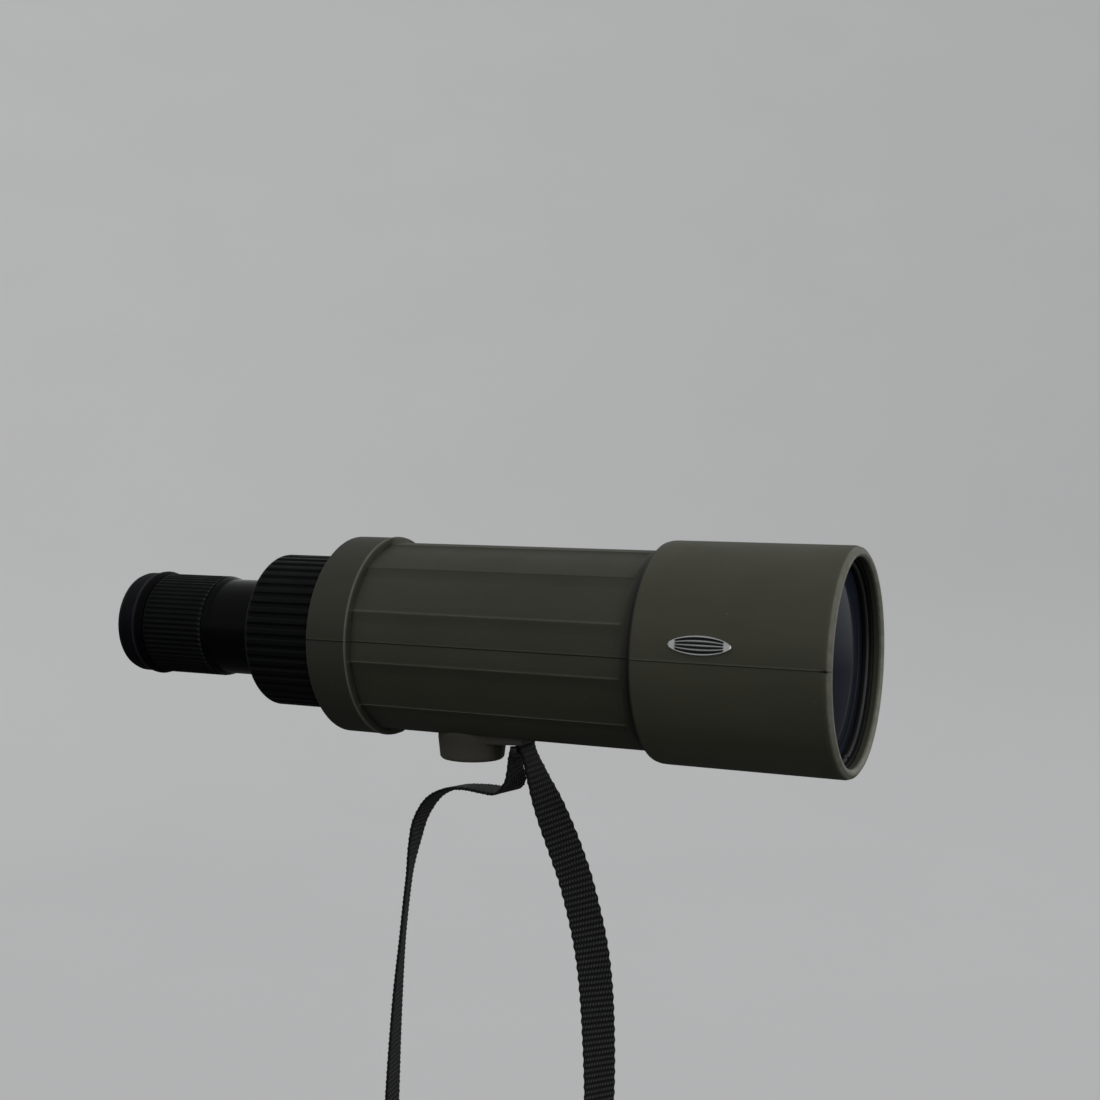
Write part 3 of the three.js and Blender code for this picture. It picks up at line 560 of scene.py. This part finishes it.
def curve_through(points, per_span):
    """Points on the centripetal Catmull-Rom curve through the given ones, per_span for each span."""
    p = np.vstack([2 * points[0] - points[1], points, 2 * points[-1] - points[-2]])
    gaps = np.maximum(np.linalg.norm(np.diff(p, axis=0), axis=1) ** 0.5, 1e-4)
    t = np.linspace(0, 1, per_span, endpoint=False)[:, None]
    made = []
    for i in range(len(points) - 1):
        d0, d1, d2 = gaps[i : i + 3]
        p0, p1, p2, p3 = p[i : i + 4]
        m1 = d1 * ((p1 - p0) / d0 - (p2 - p0) / (d0 + d1) + (p2 - p1) / d1)
        m2 = d1 * ((p2 - p1) / d1 - (p3 - p1) / (d1 + d2) + (p3 - p2) / d2)
        made.append(p1 + m1 * t + (3 * (p2 - p1) - 2 * m1 - m2) * t**2 + (2 * (p1 - p2) + m1 + m2) * t**3)
    return np.vstack([*made, points[-1:]])


def along(points):
    return np.concatenate([[0], np.cumsum(np.linalg.norm(np.diff(points, axis=0), axis=1))])


def unit(vectors):
    return vectors / np.linalg.norm(vectors, axis=-1, keepdims=True)


def evenly(points, at, distances):
    return np.stack([np.interp(distances, at, points[:, k]) for k in range(3)], axis=1)


def webbing_section(columns=12):
    """A webbing's section as (place across, place through), both from -1 to 1, with rounded edges."""
    across = np.linspace(-0.97, 0.97, columns)
    top = [(a, 1.0) for a in across]
    bottom = [(a, -1.0) for a in across[::-1]]
    right = [(0.99, 0.6), (1.0, 0.0), (0.99, -0.6)]
    left = [(-0.99, -0.6), (-1.0, 0.0), (-0.99, 0.6)]
    return np.array([*top, *right, *bottom, *left])


def woven(across, through, distance):
    """A webbing's relief: how far a place stands out and reaches, and how pale or dark it is: crowns greyed
    by rubbing and by a painted highlight, valleys painted dark as shade. Round cross ribs, whose ends serrate
    the edges at every other rib."""
    phase = 2 * math.pi * distance / RIB_PITCH
    rib = 0.5 + 0.5 * np.cos(phase + 0 * across)
    face = np.abs(through) > 0.9
    stands = 1 - face * 0.34 * (1 - rib)
    edge = 0.06 * smooth(0.9, 1.0, np.abs(across)) * (np.cos(phase / 2) - 1) / 2
    # Rib crowns pale from rubbing and a painted highlight; valleys between ribs painted dark as shade.
    wear_and_painted_light = np.where(face, 0.9 * smooth(0.3, 0.9, rib) - 0.8 * smooth(0.45, 0, rib), 0)
    return stands, across * (1 + edge), wear_and_painted_light


def ribbon(name, centre, wide):
    """A band of webbing along closely spaced centre points, with its width along wide."""
    distance = along(centre)[:, None]
    forward = unit(np.gradient(centre, axis=0))
    through_way = unit(np.cross(forward, wide))[:, None, :]
    wide_way = unit(np.cross(through_way[:, 0], forward))[:, None, :]
    across, through = webbing_section().T[:, None, :]
    stands, reach, wear_and_painted_light = woven(across, through, distance)
    points = centre[:, None, :] + wide_way * reach[..., None] * STRAP_WIDTH / 2
    points = points + through_way * (through * stands)[..., None] * STRAP_THICKNESS / 2
    rows, columns = stands.shape
    faces = grid_faces(rows, columns, closed_rows=False)
    faces += [tuple(range(columns)), tuple(range((rows - 1) * columns, rows * columns))]
    weave = np.stack(np.broadcast_arrays(across, distance / RIB_PITCH, through), axis=-1)
    return piece_from(name, points.reshape(-1, 3), faces, wear_and_painted_light.ravel(), weave.ravel())


def add_strap():
    route = np.array(STRAP_ROUTE, float)
    points, ways = route[:, :3] * MM, route[:, 3:]
    fine = curve_through(points, 60)
    at = along(fine)
    count = round(at[-1] / RIB_PITCH * STATIONS_PER_RIB)
    distances = np.linspace(0, at[-1], count)
    centre = evenly(fine, at, distances)
    wide = evenly(curve_through(ways, 60), at, distances)
    strap = dress(ribbon("strap", centre, wide), "carry_strap")
    path = centre[:: STATIONS_PER_RIB * 2]
    path = np.vstack([path, centre[-1:]])


add_strap()


# ---------------------------------------------------------------- armour

SEAM_HEIGHT = 0.02  # sine of the mould seam's angle above the horizontal
SEAM_ANGLE = math.asin(SEAM_HEIGHT)
SEAM_RADIUS = 44 * MM  # about where the mould seams run, on barrel, collar and hood
HOOD_OUTSIDE = (43.6 * MM, 44.6 * MM)  # radii between which the hood's outside takes over
HOOD_INSIDE = (44.8 * MM, 43.8 * MM)  # the same for its inside, inwards
BARREL_RADIUS = 42 * MM
BARREL_OUTSIDE = (40.6 * MM, 41.4 * MM)
COLLAR_OUTSIDE = (43.4 * MM, 44.0 * MM)
RIDGE = 20 * MM  # from the barrel's rear end to the collar's ridge
FLUTE_COUNT = 12
FLUTE_PERIOD = 2 * math.pi / FLUTE_COUNT
FLUTE_DEPTH = 0.9 * MM
FLUTED_TO = math.radians(79.6)  # the fluting's highest edge, above the horizontal
FLUTES_END = 47 * MM  # from the barrel's front end back to the fluting
BARREL_DIRT, COLLAR_DIRT = 0.28, 0.42


def columns_for(count, creases=()):
    """Even columns round the axis, with close ones at the two mould seams and at the creases."""
    seams = np.array([SEAM_ANGLE, math.pi - SEAM_ANGLE])
    offsets = np.array([-0.6, -0.4, -0.25, -0.12, 0, 0.12, 0.25, 0.4, 0.6]) * MM / SEAM_RADIUS
    close = [seam + offset for seam in seams for offset in offsets]
    steps = np.array([-0.5, -0.25, 0, 0.12, 0.3, 0.6]) * MM / BARREL_RADIUS
    close += [crease + step for crease in creases for step in steps]
    close = np.mod(close, 2 * math.pi)
    base = even(count)
    gap = np.abs((base[:, None] - close[None, :] + math.pi) % (2 * math.pi) - math.pi).min(axis=1)
    return np.sort(np.concatenate([base[gap > 0.3 * MM / SEAM_RADIUS], close]))


def above_level(angle):
    """How far a place lies round the axis above the horizontal, on whichever side it is."""
    return np.arcsin(np.clip(np.sin(angle), -1, 1))


def from_seam(radius, angle):
    """Distance round the surface from the nearer mould seam, above it positive."""
    return radius * (above_level(angle) - SEAM_ANGLE)


def seam_cut(radius, angle, width=0.16 * MM, depth=0.2 * MM):
    """The parting groove with a faint lip along both its sides."""
    distance = from_seam(radius, angle)
    return depth * bell(distance, width) - 0.05 * MM * bell(np.abs(distance) - 0.36 * MM, 0.14 * MM)


def seam_painted_light(radius, angle):
    """The groove is painted dark as shade, and its upper lip painted pale as a highlight."""
    distance = from_seam(radius, angle)
    return 0.3 * bell(distance - 0.45 * MM, 0.2 * MM) - 0.75 * bell(distance, 0.3 * MM)


def hood_change(x, radius, angle):
    low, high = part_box("hood_armour")
    outer = smooth(*HOOD_OUTSIDE, radius)
    nick = bell(x - high.x + 2.3 * MM, 0.9 * MM) * bell(from_seam(radius, angle), 0.45 * MM)
    groove = seam_cut(radius, angle) + nick * 0.4 * MM
    inside = smooth(*HOOD_INSIDE, radius)
    # The rim is pale partly from rubbing and partly as a painted highlight for light falling on its front and
    # inside.
    rim = (0.5 + 0.4 * inside) * smooth(high.x - 2.1 * MM, high.x - 1.4 * MM, x)
    # Painted shade along the hood's rear edge, where it meets the barrel.
    gap_shade = smooth(low.x + 1.6 * MM, low.x + 0.5 * MM, x)
    seam = outer * seam_painted_light(radius, angle) * (1 - rim)
    return x, radius - groove * outer, seam + rim - 1.3 * nick * outer - gap_shade


def add_hood():
    angles = columns_for(288)
    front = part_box("hood_armour")[1].x
    turned(
        "hood_armour", 0.7 * MM, step=1.5 * MM, beyond=43.9 * MM, angles=angles, change=hood_change,
        close=(front - 3 * MM, front),
    )


def flute_drop(angle):
    """How deep the fluting lies: it falls away at once under each crisp edge and rises slowly to the next."""
    height = above_level(angle)
    below_edge = np.mod(FLUTED_TO - height, FLUTE_PERIOD) / FLUTE_PERIOD
    place = below_edge**0.6
    drop = np.where(height > FLUTED_TO, 0, 4 * place * (1 - place))
    return np.where(height < -FLUTED_TO, drop * smooth(0.12, 0, -FLUTED_TO - height), drop)


def flute_crest(angle):
    """A pale line along each edge, clearer on the lower ones, and painted shade in the flute below it."""
    height = above_level(angle)
    half = FLUTE_PERIOD / 2
    below_edge = (np.mod(FLUTED_TO - height + half, FLUTE_PERIOD) - half) * BARREL_RADIUS
    degrees = np.degrees(height)
    clear = smooth(45, 25, degrees) * smooth(-62, -50, degrees)
    low_down = 0.35 + 0.55 * smooth(0, -40, degrees)
    # Painted shade just under each edge, where the flute turns downwards.
    hollow_shade = smooth(0.3 * MM, 0.8 * MM, below_edge) * smooth(5.4 * MM, 4.8 * MM, below_edge)
    line = clear * bell(below_edge, 0.45 * MM)
    return low_down * line - (0.1 * hollow_shade + BARREL_DIRT) * (1 - line)


def barrel_change(x, radius, angle):
    low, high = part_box("barrel_armour")
    outer = smooth(*BARREL_OUTSIDE, radius)
    ridge_at = low.x + RIDGE
    along_flutes = smooth(ridge_at + 0.1 * MM, ridge_at + 0.8 * MM, x)
    along_flutes = along_flutes * smooth(0, -1.6 * MM, x - high.x + FLUTES_END)
    fluted = smooth(FLUTED_TO + 0.07, FLUTED_TO - 0.02, np.abs(above_level(angle)))
    ramp = np.maximum(radius - BARREL_RADIUS, 0) * fluted
    cut = seam_cut(radius, angle) + (flute_drop(angle) * FLUTE_DEPTH + ramp) * along_flutes
    # The ridge's crest is pale partly from rubbing and partly as a painted highlight where it faces the
    # light.
    ridge = bell(x - ridge_at + 0.1 * MM, 0.38 * MM) * smooth(*COLLAR_OUTSIDE, radius)
    # Painted shade at the foot of the ramp, just in front of the ridge.
    foot = bell(x - ridge_at - 0.9 * MM, 0.5 * MM) * fluted
    under_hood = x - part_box("hood_armour")[0].x
    # Painted shade in the gap under the hood's rear edge, with a softer darkening fading back from it.
    gap_shade = 0.25 * smooth(-9 * MM, -2 * MM, under_hood) * smooth(6 * MM, 0, under_hood)
    gap_shade = gap_shade + 0.6 * bell(under_hood + 0.4 * MM, 1.3 * MM)
    flutes = flute_crest(angle)
    collar = -COLLAR_DIRT * (1 - ridge)
    wear_and_painted_light = collar + (flutes - collar) * along_flutes + 0.6 * ridge - 0.5 * foot - gap_shade
    return x, radius - cut * outer, outer * (wear_and_painted_light + seam_painted_light(radius, angle) * (1 - ridge))


def add_barrel():
    edges = FLUTED_TO - np.arange(FLUTE_COUNT // 2) * FLUTE_PERIOD
    creases = [*edges, *(math.pi - edges)]
    angles = columns_for(288, creases)
    ridge_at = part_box("barrel_armour")[0].x + RIDGE
    turned(
        "barrel_armour", 0.6 * MM, step=0.8 * MM, beyond=41 * MM, angles=angles, change=barrel_change,
        close=(ridge_at - 2 * MM, ridge_at + 3 * MM),
    )


BADGE_ANGLE = math.radians(170)
BADGE_HALF_LENGTH = 12.9 * MM
BADGE_HALF_HEIGHT = 4 * MM
BADGE_PROUD = 0.75 * MM
BADGE_LINES = (-0.42, 0, 0.42)  # places of the silver lines across the field, in half heights


def add_badge():
    """A pointed oval plate bent round the hood: raised rim, sunk dark field and silver pin lines."""
    low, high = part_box("badge")
    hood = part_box("hood_armour")[1].z - AXIS_Z
    centre = (low.x + high.x) / 2
    rows, columns = 90, 81
    along_it = -np.cos(np.linspace(0, math.pi, rows))[:, None]
    across = np.linspace(-1, 1, columns)[None, :]
    half = BADGE_HALF_HEIGHT * (1 - along_it**2) ** 0.62 + 0.02 * MM
    edge = np.minimum(1 - np.abs(across), (1 - np.abs(along_it)) * 1.6)
    rim = smooth(0, 0.1, edge)
    field = smooth(0.2, 0.24, edge) * smooth(0.78, 0.74, np.abs(along_it))
    bars = sum(bell(across - place, 0.07) for place in BADGE_LINES) * field
    proud = BADGE_PROUD * (0.25 + 0.75 * rim) - 0.18 * MM * field + 0.1 * MM * bars
    round_hood = (across * half) / hood
    shapes = []
    for height, place in ((proud, 1), (0 * proud - 0.3 * MM, -1)):
        radius = hood + height + 0 * round_hood
        angle = BADGE_ANGLE - round_hood
        x = centre + along_it * BADGE_HALF_LENGTH + 0 * angle
        shapes.append(np.stack([x, radius * np.cos(angle), AXIS_Z + radius * np.sin(angle)], axis=-1))
    top, under = (s.reshape(-1, 3) for s in shapes)
    faces = grid_faces(rows, columns, False, False)
    count = rows * columns
    faces += [tuple(i + count for i in face) for face in faces]
    border = list(range(columns))
    border += [i * columns + columns - 1 for i in range(1, rows)]
    border += [(rows - 1) * columns + j for j in range(columns - 2, -1, -1)]
    border += [i * columns for i in range(rows - 2, 0, -1)]
    faces += [(a, b, b + count, a + count) for a, b in zip(border, border[1:] + border[:1])]
    wear_and_painted_light = np.concatenate([(bars - field).ravel(), np.zeros(count)])
    dress(piece_from("badge_plate", np.vstack([top, under]), faces, wear_and_painted_light), "badge")


# ---------------------------------------------------------------- objective

def lens(node, rings=24, count=128):
    """A lens with smooth spherical sides, from its CAD solid's rim and poles."""
    spots = np.array([(v.co.x, math.hypot(v.co.y, v.co.z - AXIS_Z)) for v in NODES[node].data.vertices])
    radius = spots[:, 1].max()
    rim = spots[spots[:, 1] > radius * 0.99][:, 0]
    pole = spots[spots[:, 1] < radius * 0.01][:, 0]
    share = np.linspace(0, 1, rings)
    chamfer = 0.25 * MM
    outline = []
    for side, pole_x, rim_x in ((-1, pole.min(), rim.min()), (1, pole.max(), rim.max())):
        curve = [(rim_x + (pole_x - rim_x) * (1 - s * s), s * (radius - chamfer)) for s in share]
        curve.append((rim_x - side * chamfer, radius))
        outline += curve if side < 0 else curve[::-1]
    outline = np.array(outline)
    x, r = outline.T[:, :, None]
    angle = even(count)[None, :]
    points = np.stack([x + 0 * angle, r * np.cos(angle), AXIS_Z + r * np.sin(angle)], axis=-1)
    faces = grid_faces(len(outline), count, closed_rows=False)
    return dress(piece_from(node + "_fine", points.reshape(-1, 3), faces), node)


NOTCH_ANGLES = (math.radians(282), math.radians(102))


def retaining_change(x, radius, angle):
    """Two small spanner notches in the ring's front face, and a bright worn bevel."""
    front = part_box("objective_retaining_ring")[1].x
    beside = [np.abs(radius * np.sin((angle - middle) / 2) * 2) for middle in NOTCH_ANGLES]
    notch = sum(smooth(1.1 * MM, 0.8 * MM, distance) for distance in beside)
    near_front = smooth(front - 1.6 * MM, front - 1.2 * MM, x)
    bevel = smooth(front - 0.5 * MM, front - 0.2 * MM, x) * smooth(41.0 * MM, 40.7 * MM, radius)
    return x - notch * near_front * 1.1 * MM, radius, 0.4 * bevel


def add_objective():
    turned("objective_housing", count=240, step=1.5 * MM, beyond=41 * MM)
    turned("objective_cell", count=240)
    turned("objective_retaining_ring", fillet=0.12 * MM, step=0.2 * MM, count=384, change=retaining_change)
    turned("objective_spacer")
    lens("objective_front_element", 32, 192)
    lens("objective_rear_element", 32, 192)


def draw_tube_change(x, radius, angle):
    """Three shallow index rings turned into the tube's outside near its rear end."""
    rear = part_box("draw_tube")[0].x
    outer = smooth(35.9 * MM, 36.2 * MM, radius) * smooth(37 * MM, 36.6 * MM, radius)
    rings = sum(bell(x - rear - place, 0.25 * MM) for place in (18 * MM, 20 * MM, 22 * MM))
    return x, radius - 0.2 * MM * rings * outer, 0.25 * rings * outer


def add_draw_tube():
    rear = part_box("draw_tube")[0].x
    turned(
        "draw_tube", count=240, step=MM, beyond=36 * MM, change=draw_tube_change,
        close=(rear + 17 * MM, rear + 23 * MM),
    )
    turned("draw_tube_rear_bushing")
    turned("draw_tube_baffle")
    turned("barrel_front_bushing", count=240)


# ---------------------------------------------------------------- rings and eyepiece

def rib_wave(phase, land, flank):
    """1 on a rib's land and 0 in its valley, by the share of the pitch from the land's middle."""
    away = np.abs(np.mod(phase + 0.5, 1) - 0.5)
    return smooth(land / 2 + flank, land / 2, away)


def add_focus_ring():
    low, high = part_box("focus_ring_grip")
    count = 45
    land_radius = high.z - AXIS_Z

    def change(x, radius, angle):
        rib = rib_wave(angle * count / (2 * math.pi), 0.46, 0.13)
        ribbed = smooth(low.x + 1.1 * MM, low.x + 1.9 * MM, x) * smooth(high.x, high.x - 0.8 * MM, x)
        outer = smooth(land_radius - 1.2 * MM, land_radius - 0.5 * MM, radius)
        crest = outer * ribbed * rib * (1 - rib_wave(angle * count / (2 * math.pi), 0.3, 0.1))
        # A painted highlight along the rear rim.
        edge = bell(x - low.x - 0.3 * MM, 0.35 * MM) * outer
        # Rib crests a little rubbed, the rear rim painted pale as a highlight, painted shade in the valleys
        # between ribs.
        wear_and_painted_light = 0.12 * crest + 0.8 * edge - 0.35 * (1 - rib) * ribbed * outer
        return x, radius - 0.85 * MM * (1 - rib) * ribbed * outer, wear_and_painted_light

    corners = outline_of("focus_ring_grip", -88)
    outline = dense(rounded(corners, 0.7 * MM), 1.2 * MM, land_radius - 1.2 * MM)
    piece = revolved("focus_ring_grip_fine", outline, even(count * 14), change)
    dress(piece, "focus_ring_grip")


def add_zoom_ring():
    low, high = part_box("zoom_ring_grip")
    count = 60
    land_radius = high.z - AXIS_Z

    def change(x, radius, angle):
        rib = rib_wave(angle * count / (2 * math.pi), 0.28, 0.22)
        ribbed = smooth(low.x + 0.5 * MM, low.x + 1.3 * MM, x) * smooth(high.x, high.x - 0.7 * MM, x)
        outer = smooth(land_radius - 0.7 * MM, land_radius - 0.3 * MM, radius)
        # A painted highlight along the front edge, brightest on the rib ends.
        edge = bell(x - high.x + 0.8 * MM, 0.6 * MM) * outer
        # Painted shade in the valleys between the ribs.
        wear_and_painted_light = 0.75 * edge * (0.3 + 0.7 * rib) - 0.25 * (1 - rib) * ribbed * outer
        return x, radius - 0.5 * MM * (1 - rib) * ribbed * outer, wear_and_painted_light

    corners = outline_of("zoom_ring_grip", -89.9)
    outline = dense(rounded(corners, 0.35 * MM), 1.0 * MM, land_radius - 0.7 * MM)
    outline = dense(outline, 0.25 * MM, land_radius - 0.7 * MM, (high.x - 2.5 * MM, high.x))
    piece = revolved("zoom_ring_grip_fine", outline, even(count * 10), change)
    dress(piece, "zoom_ring_grip")


def eyecup_change(x, radius, angle):
    """A pale arc painted on the bead's crest as a highlight, and painted shade on the slope in front of it.
    """
    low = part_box("eyecup")[0].x
    bead = smooth(23.5 * MM, 23.9 * MM, radius)
    arc = bell(x - low - 10.2 * MM, 0.5 * MM) * bead
    slope = smooth(low + 10.9 * MM, low + 11.8 * MM, x)
    return x, radius, 0.8 * arc - 0.8 * slope


def add_eyepiece():
    turned("eyepiece_socket")
    turned("eyepiece_barrel", fillet=0.4 * MM, count=240)
    turned("field_stop")
    turned("eyepiece_top")
    turned("eye_lens_retainer", fillet=0.2 * MM)
    turned("eyecup", 0.45 * MM, 240, 0.4 * MM, 22 * MM, change=eyecup_change, material=STIPPLED)
    for node in ("field_lens", "eye_lens", "focus_lens", "zoom_lens_front", "zoom_lens_rear"):
        lens(node)
    turned("focus_lens_retainer")


# ---------------------------------------------------------------- foot

def softened(node, name, voxel, rounds, reshape):
    """A CAD solid remeshed finely, smoothed so that its edges look moulded or cast, and reshaped."""
    mesh = NODES[node].data.copy()
    raw = bpy.data.objects.new(name + "_raw", mesh)
    bpy.context.scene.collection.objects.link(raw)
    remesh = raw.modifiers.new("remesh", "REMESH")
    remesh.mode = "VOXEL"
    remesh.voxel_size = voxel
    relax = raw.modifiers.new("relax", "SMOOTH")
    relax.factor = 0.5
    relax.iterations = rounds
    shaped = bpy.data.meshes.new_from_object(raw.evaluated_get(bpy.context.evaluated_depsgraph_get()))
    bpy.data.objects.remove(raw)
    points = np.zeros(len(shaped.vertices) * 3)
    shaped.vertices.foreach_get("co", points)
    points = reshape(points.reshape(-1, 3))
    faces = [tuple(p.vertices) for p in shaped.polygons]
    bpy.data.meshes.remove(shaped)
    return dress(piece_from(name, points, faces), node)


def meet_barrel(points):
    """Runs the foot's top up into the armour, so that no gap shows between them."""
    height = points[:, 2] - AXIS_Z
    away = np.hypot(points[:, 1], height)
    push = 1.7 * MM * smooth(43.2 * MM, 42.4 * MM, away)
    moved = points.copy()
    moved[:, 1] -= push * points[:, 1] / away
    moved[:, 2] -= push * height / away
    return moved


def add_insert():
    """The threaded insert, with its tripod screw thread cut as a helix."""
    low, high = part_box("tripod_thread_insert")
    outer, crest, root = high.x, 2.75 * MM, 3.2 * MM
    pitch = 25.4 * MM / 20
    count = 64
    heights = np.linspace(low.z + 0.5 * MM, high.z - 0.5 * MM, 84)
    bevel = root + 0.3 * MM
    outline = [(low.z, bevel), (low.z, outer - 0.3 * MM), (low.z + 0.3 * MM, outer)]
    outline += [(high.z - 0.3 * MM, outer), (high.z, outer - 0.3 * MM), (high.z, bevel)]
    outline += [(z, None) for z in heights[::-1]]
    angle = even(count)
    rows = []
    for z, radius in outline:
        turn = np.mod(z / pitch - angle / (2 * math.pi), 1)
        threaded = root - (root - crest) * np.clip(1.6 * (1 - np.abs(2 * turn - 1)) - 0.1, 0, 1)
        radii = threaded if radius is None else np.full(count, radius)
        rows.append(np.stack([radii * np.cos(angle), radii * np.sin(angle), np.full(count, z)], axis=-1))
    points = np.array(rows).reshape(-1, 3)
    insert = piece_from("tripod_thread_insert_fine", points, grid_faces(len(rows), count))
    dress(insert, "tripod_thread_insert")


def tube(name, path, radius, sides=20):
    """A round bar along a path, closed at both ends."""
    forward = unit(np.gradient(path, axis=0))
    side = unit(np.cross(forward, np.array([1.0, 0.0, 0.0])))
    other = np.cross(forward, side)
    angle = even(sides)[None, :, None]
    points = path[:, None, :] + radius * (np.cos(angle) * side[:, None] + np.sin(angle) * other[:, None])
    faces = grid_faces(len(path), sides, closed_rows=False)
    faces += [tuple(range(sides)), tuple(range((len(path) - 1) * sides, len(path) * sides))]
    return piece_from(name, points.reshape(-1, 3), faces)


def add_strap_bar():
    low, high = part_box("strap_bar")
    x = (low.x + high.x) / 2
    radius = (high.x - low.x) / 2
    floor, top, half = low.z + radius, high.z, high.y - radius
    bend = 1.8 * MM
    turn = np.linspace(0, math.pi / 2, 8)
    corner = [(-half + bend * (1 - math.sin(t)), floor + bend * (1 - math.cos(t))) for t in turn[::-1]]
    route = [(-half, top), (-half, (top + floor + bend) / 2), *corner]
    route += [(-y, z) for y, z in corner[::-1]] + [(half, (top + floor + bend) / 2), (half, top)]
    path = np.array([(x, y, z) for y, z in route])
    dress(tube("strap_bar_fine", path, radius), "strap_bar")


FRONT_LEAN, REAR_LEAN = math.radians(24), math.radians(10)  # the legs of the strap's sewn end


def add_strap_wrap():
    """The strap's sewn end: a band over the bar with a leg down to each end of the strap."""
    low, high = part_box("strap_bar")
    bar = np.array([(low.x + high.x) / 2, 0, low.z + (high.x - low.x) / 2])
    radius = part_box("strap_wrap")[1].z - bar[2] - STRAP_THICKNESS / 2
    turn = np.linspace(FRONT_LEAN, math.pi - REAR_LEAN, 60)
    bend = bar + radius * np.stack([np.cos(turn), 0 * turn, np.sin(turn)], axis=1)
    front, rear = (np.array(STRAP_ROUTE[end][:3]) * MM for end in (0, -1))
    share = np.linspace(0, 1, 30, endpoint=False)[:, None]
    down = front + (bend[0] - front) * share
    back = rear + (bend[-1] - rear) * share[::-1]
    path = np.vstack([down, bend, back])
    wide = np.tile([0.0, 1.0, 0.0], (len(path), 1))
    dress(ribbon("strap_wrap_fine", path, wide), "strap_wrap")


def add_foot():
    softened("tripod_foot", "tripod_foot_fine", 0.35 * MM, 6, meet_barrel)
    add_insert()
    add_strap_bar()
    add_strap_wrap()


def dress_inner_nodes():
    """The CAD nodes that stay as they are, with their finish and softened edges."""
    for name, node in NODES.items():
        if node.hide_render:
            continue
        node.data.materials.clear()
        node.data.materials.append(MATERIALS[SLOT_OF[name]])
        node.modifiers.new("weld", "WELD").merge_threshold = 1e-6
        bevel = node.modifiers.new("bevel", "BEVEL")
        bevel.width = 0.15 * MM
        bevel.segments = 2
        bevel.limit_method = "ANGLE"
        bevel.angle_limit = math.radians(35)


# ---------------------------------------------------------------- studio

FLOOR_DROP = 25 * MM  # floor below the strap's lowest point
FLOOR_GREY, FLOOR_ROUGHNESS = 0.74, 0.9
GROUND_LIGHT, SKY_LIGHT = 0.065, 0.56
HORIZON = (-0.12, 0.06)  # heights of direction between which the ground's light gives way to the sky's


def stage_material(name, grey, roughness):
    n = Nodes(name)
    n.set(Base_Color=n.ramp(n.noise(3, 4), (0.3, grey * 0.99), (0.7, grey * 1.01)), Roughness=roughness)
    return n.material


def add_floor():
    """A pale floor that rises as a wide bowl, far outside the object. It throws no light back."""
    floor = CAD_BOX[0].z - FLOOR_DROP
    middle, flat, reach = 0.6, 1.6, 7.0
    bend_radius, slope = 1.6, math.radians(42)
    bend = np.linspace(0, slope, 24)
    profile = [(0, floor), (middle, floor), (flat, floor)]
    profile += [(flat + bend_radius * math.sin(t), floor + bend_radius * (1 - math.cos(t))) for t in bend[1:]]
    last_x, last_z = profile[-1]
    profile.append((reach, last_z + (reach - last_x) * math.tan(slope)))
    count = 96
    angle = even(count)[None, :]
    radius, z = np.array(profile).T[:, :, None]
    points = np.stack([radius * np.cos(angle), radius * np.sin(angle), z + 0 * angle], -1)
    faces = grid_faces(len(profile), count, closed_rows=False)
    stage = piece_from("floor", points.reshape(-1, 3), faces)
    stage.data.materials.append(stage_material("floor", FLOOR_GREY, FLOOR_ROUGHNESS))
    stage.visible_diffuse = False
    stage.visible_glossy = False
    stage.visible_shadow = False


def add_sky():
    """Soft light from all round above the horizon, and hardly any from below."""
    world = bpy.data.worlds.new("studio")
    bpy.context.scene.world = world
    world.use_nodes = True
    nodes, links = world.node_tree.nodes, world.node_tree.links
    direction = nodes.new("ShaderNodeTexCoord").outputs["Generated"]
    split = nodes.new("ShaderNodeSeparateXYZ")
    links.new(direction, split.inputs["Vector"])
    height = nodes.new("ShaderNodeMapRange")
    links.new(split.outputs["Z"], height.inputs["Value"])
    for key, value in zip(("From Min", "From Max", "To Min", "To Max"), (*HORIZON, GROUND_LIGHT, SKY_LIGHT)):
        height.inputs[key].default_value = value
    backdrop = nodes["Background"]
    backdrop.inputs["Color"].default_value = (0.98, 0.99, 1.0, 1)
    links.new(height.outputs["Result"], backdrop.inputs["Strength"])


def add_sun(name, towards, spread, strength, colour):
    light = bpy.data.lights.new(name, "SUN")
    light.angle = math.radians(spread)
    light.energy = strength
    light.color = colour
    lamp = bpy.data.objects.new(name, light)
    bpy.context.scene.collection.objects.link(lamp)
    lamp.rotation_euler = (-Vector(towards)).to_track_quat("-Z", "Y").to_euler()


add_sky()
add_sun("window", towards=(0.9, -0.1, 0.25), spread=50, strength=0.5, colour=(1.0, 0.99, 0.97))
bpy.context.scene.view_settings.view_transform = "Standard"

add_hood()
add_barrel()
add_badge()
add_objective()
add_draw_tube()
add_focus_ring()
add_zoom_ring()
add_eyepiece()
add_foot()
dress_inner_nodes()
add_floor()
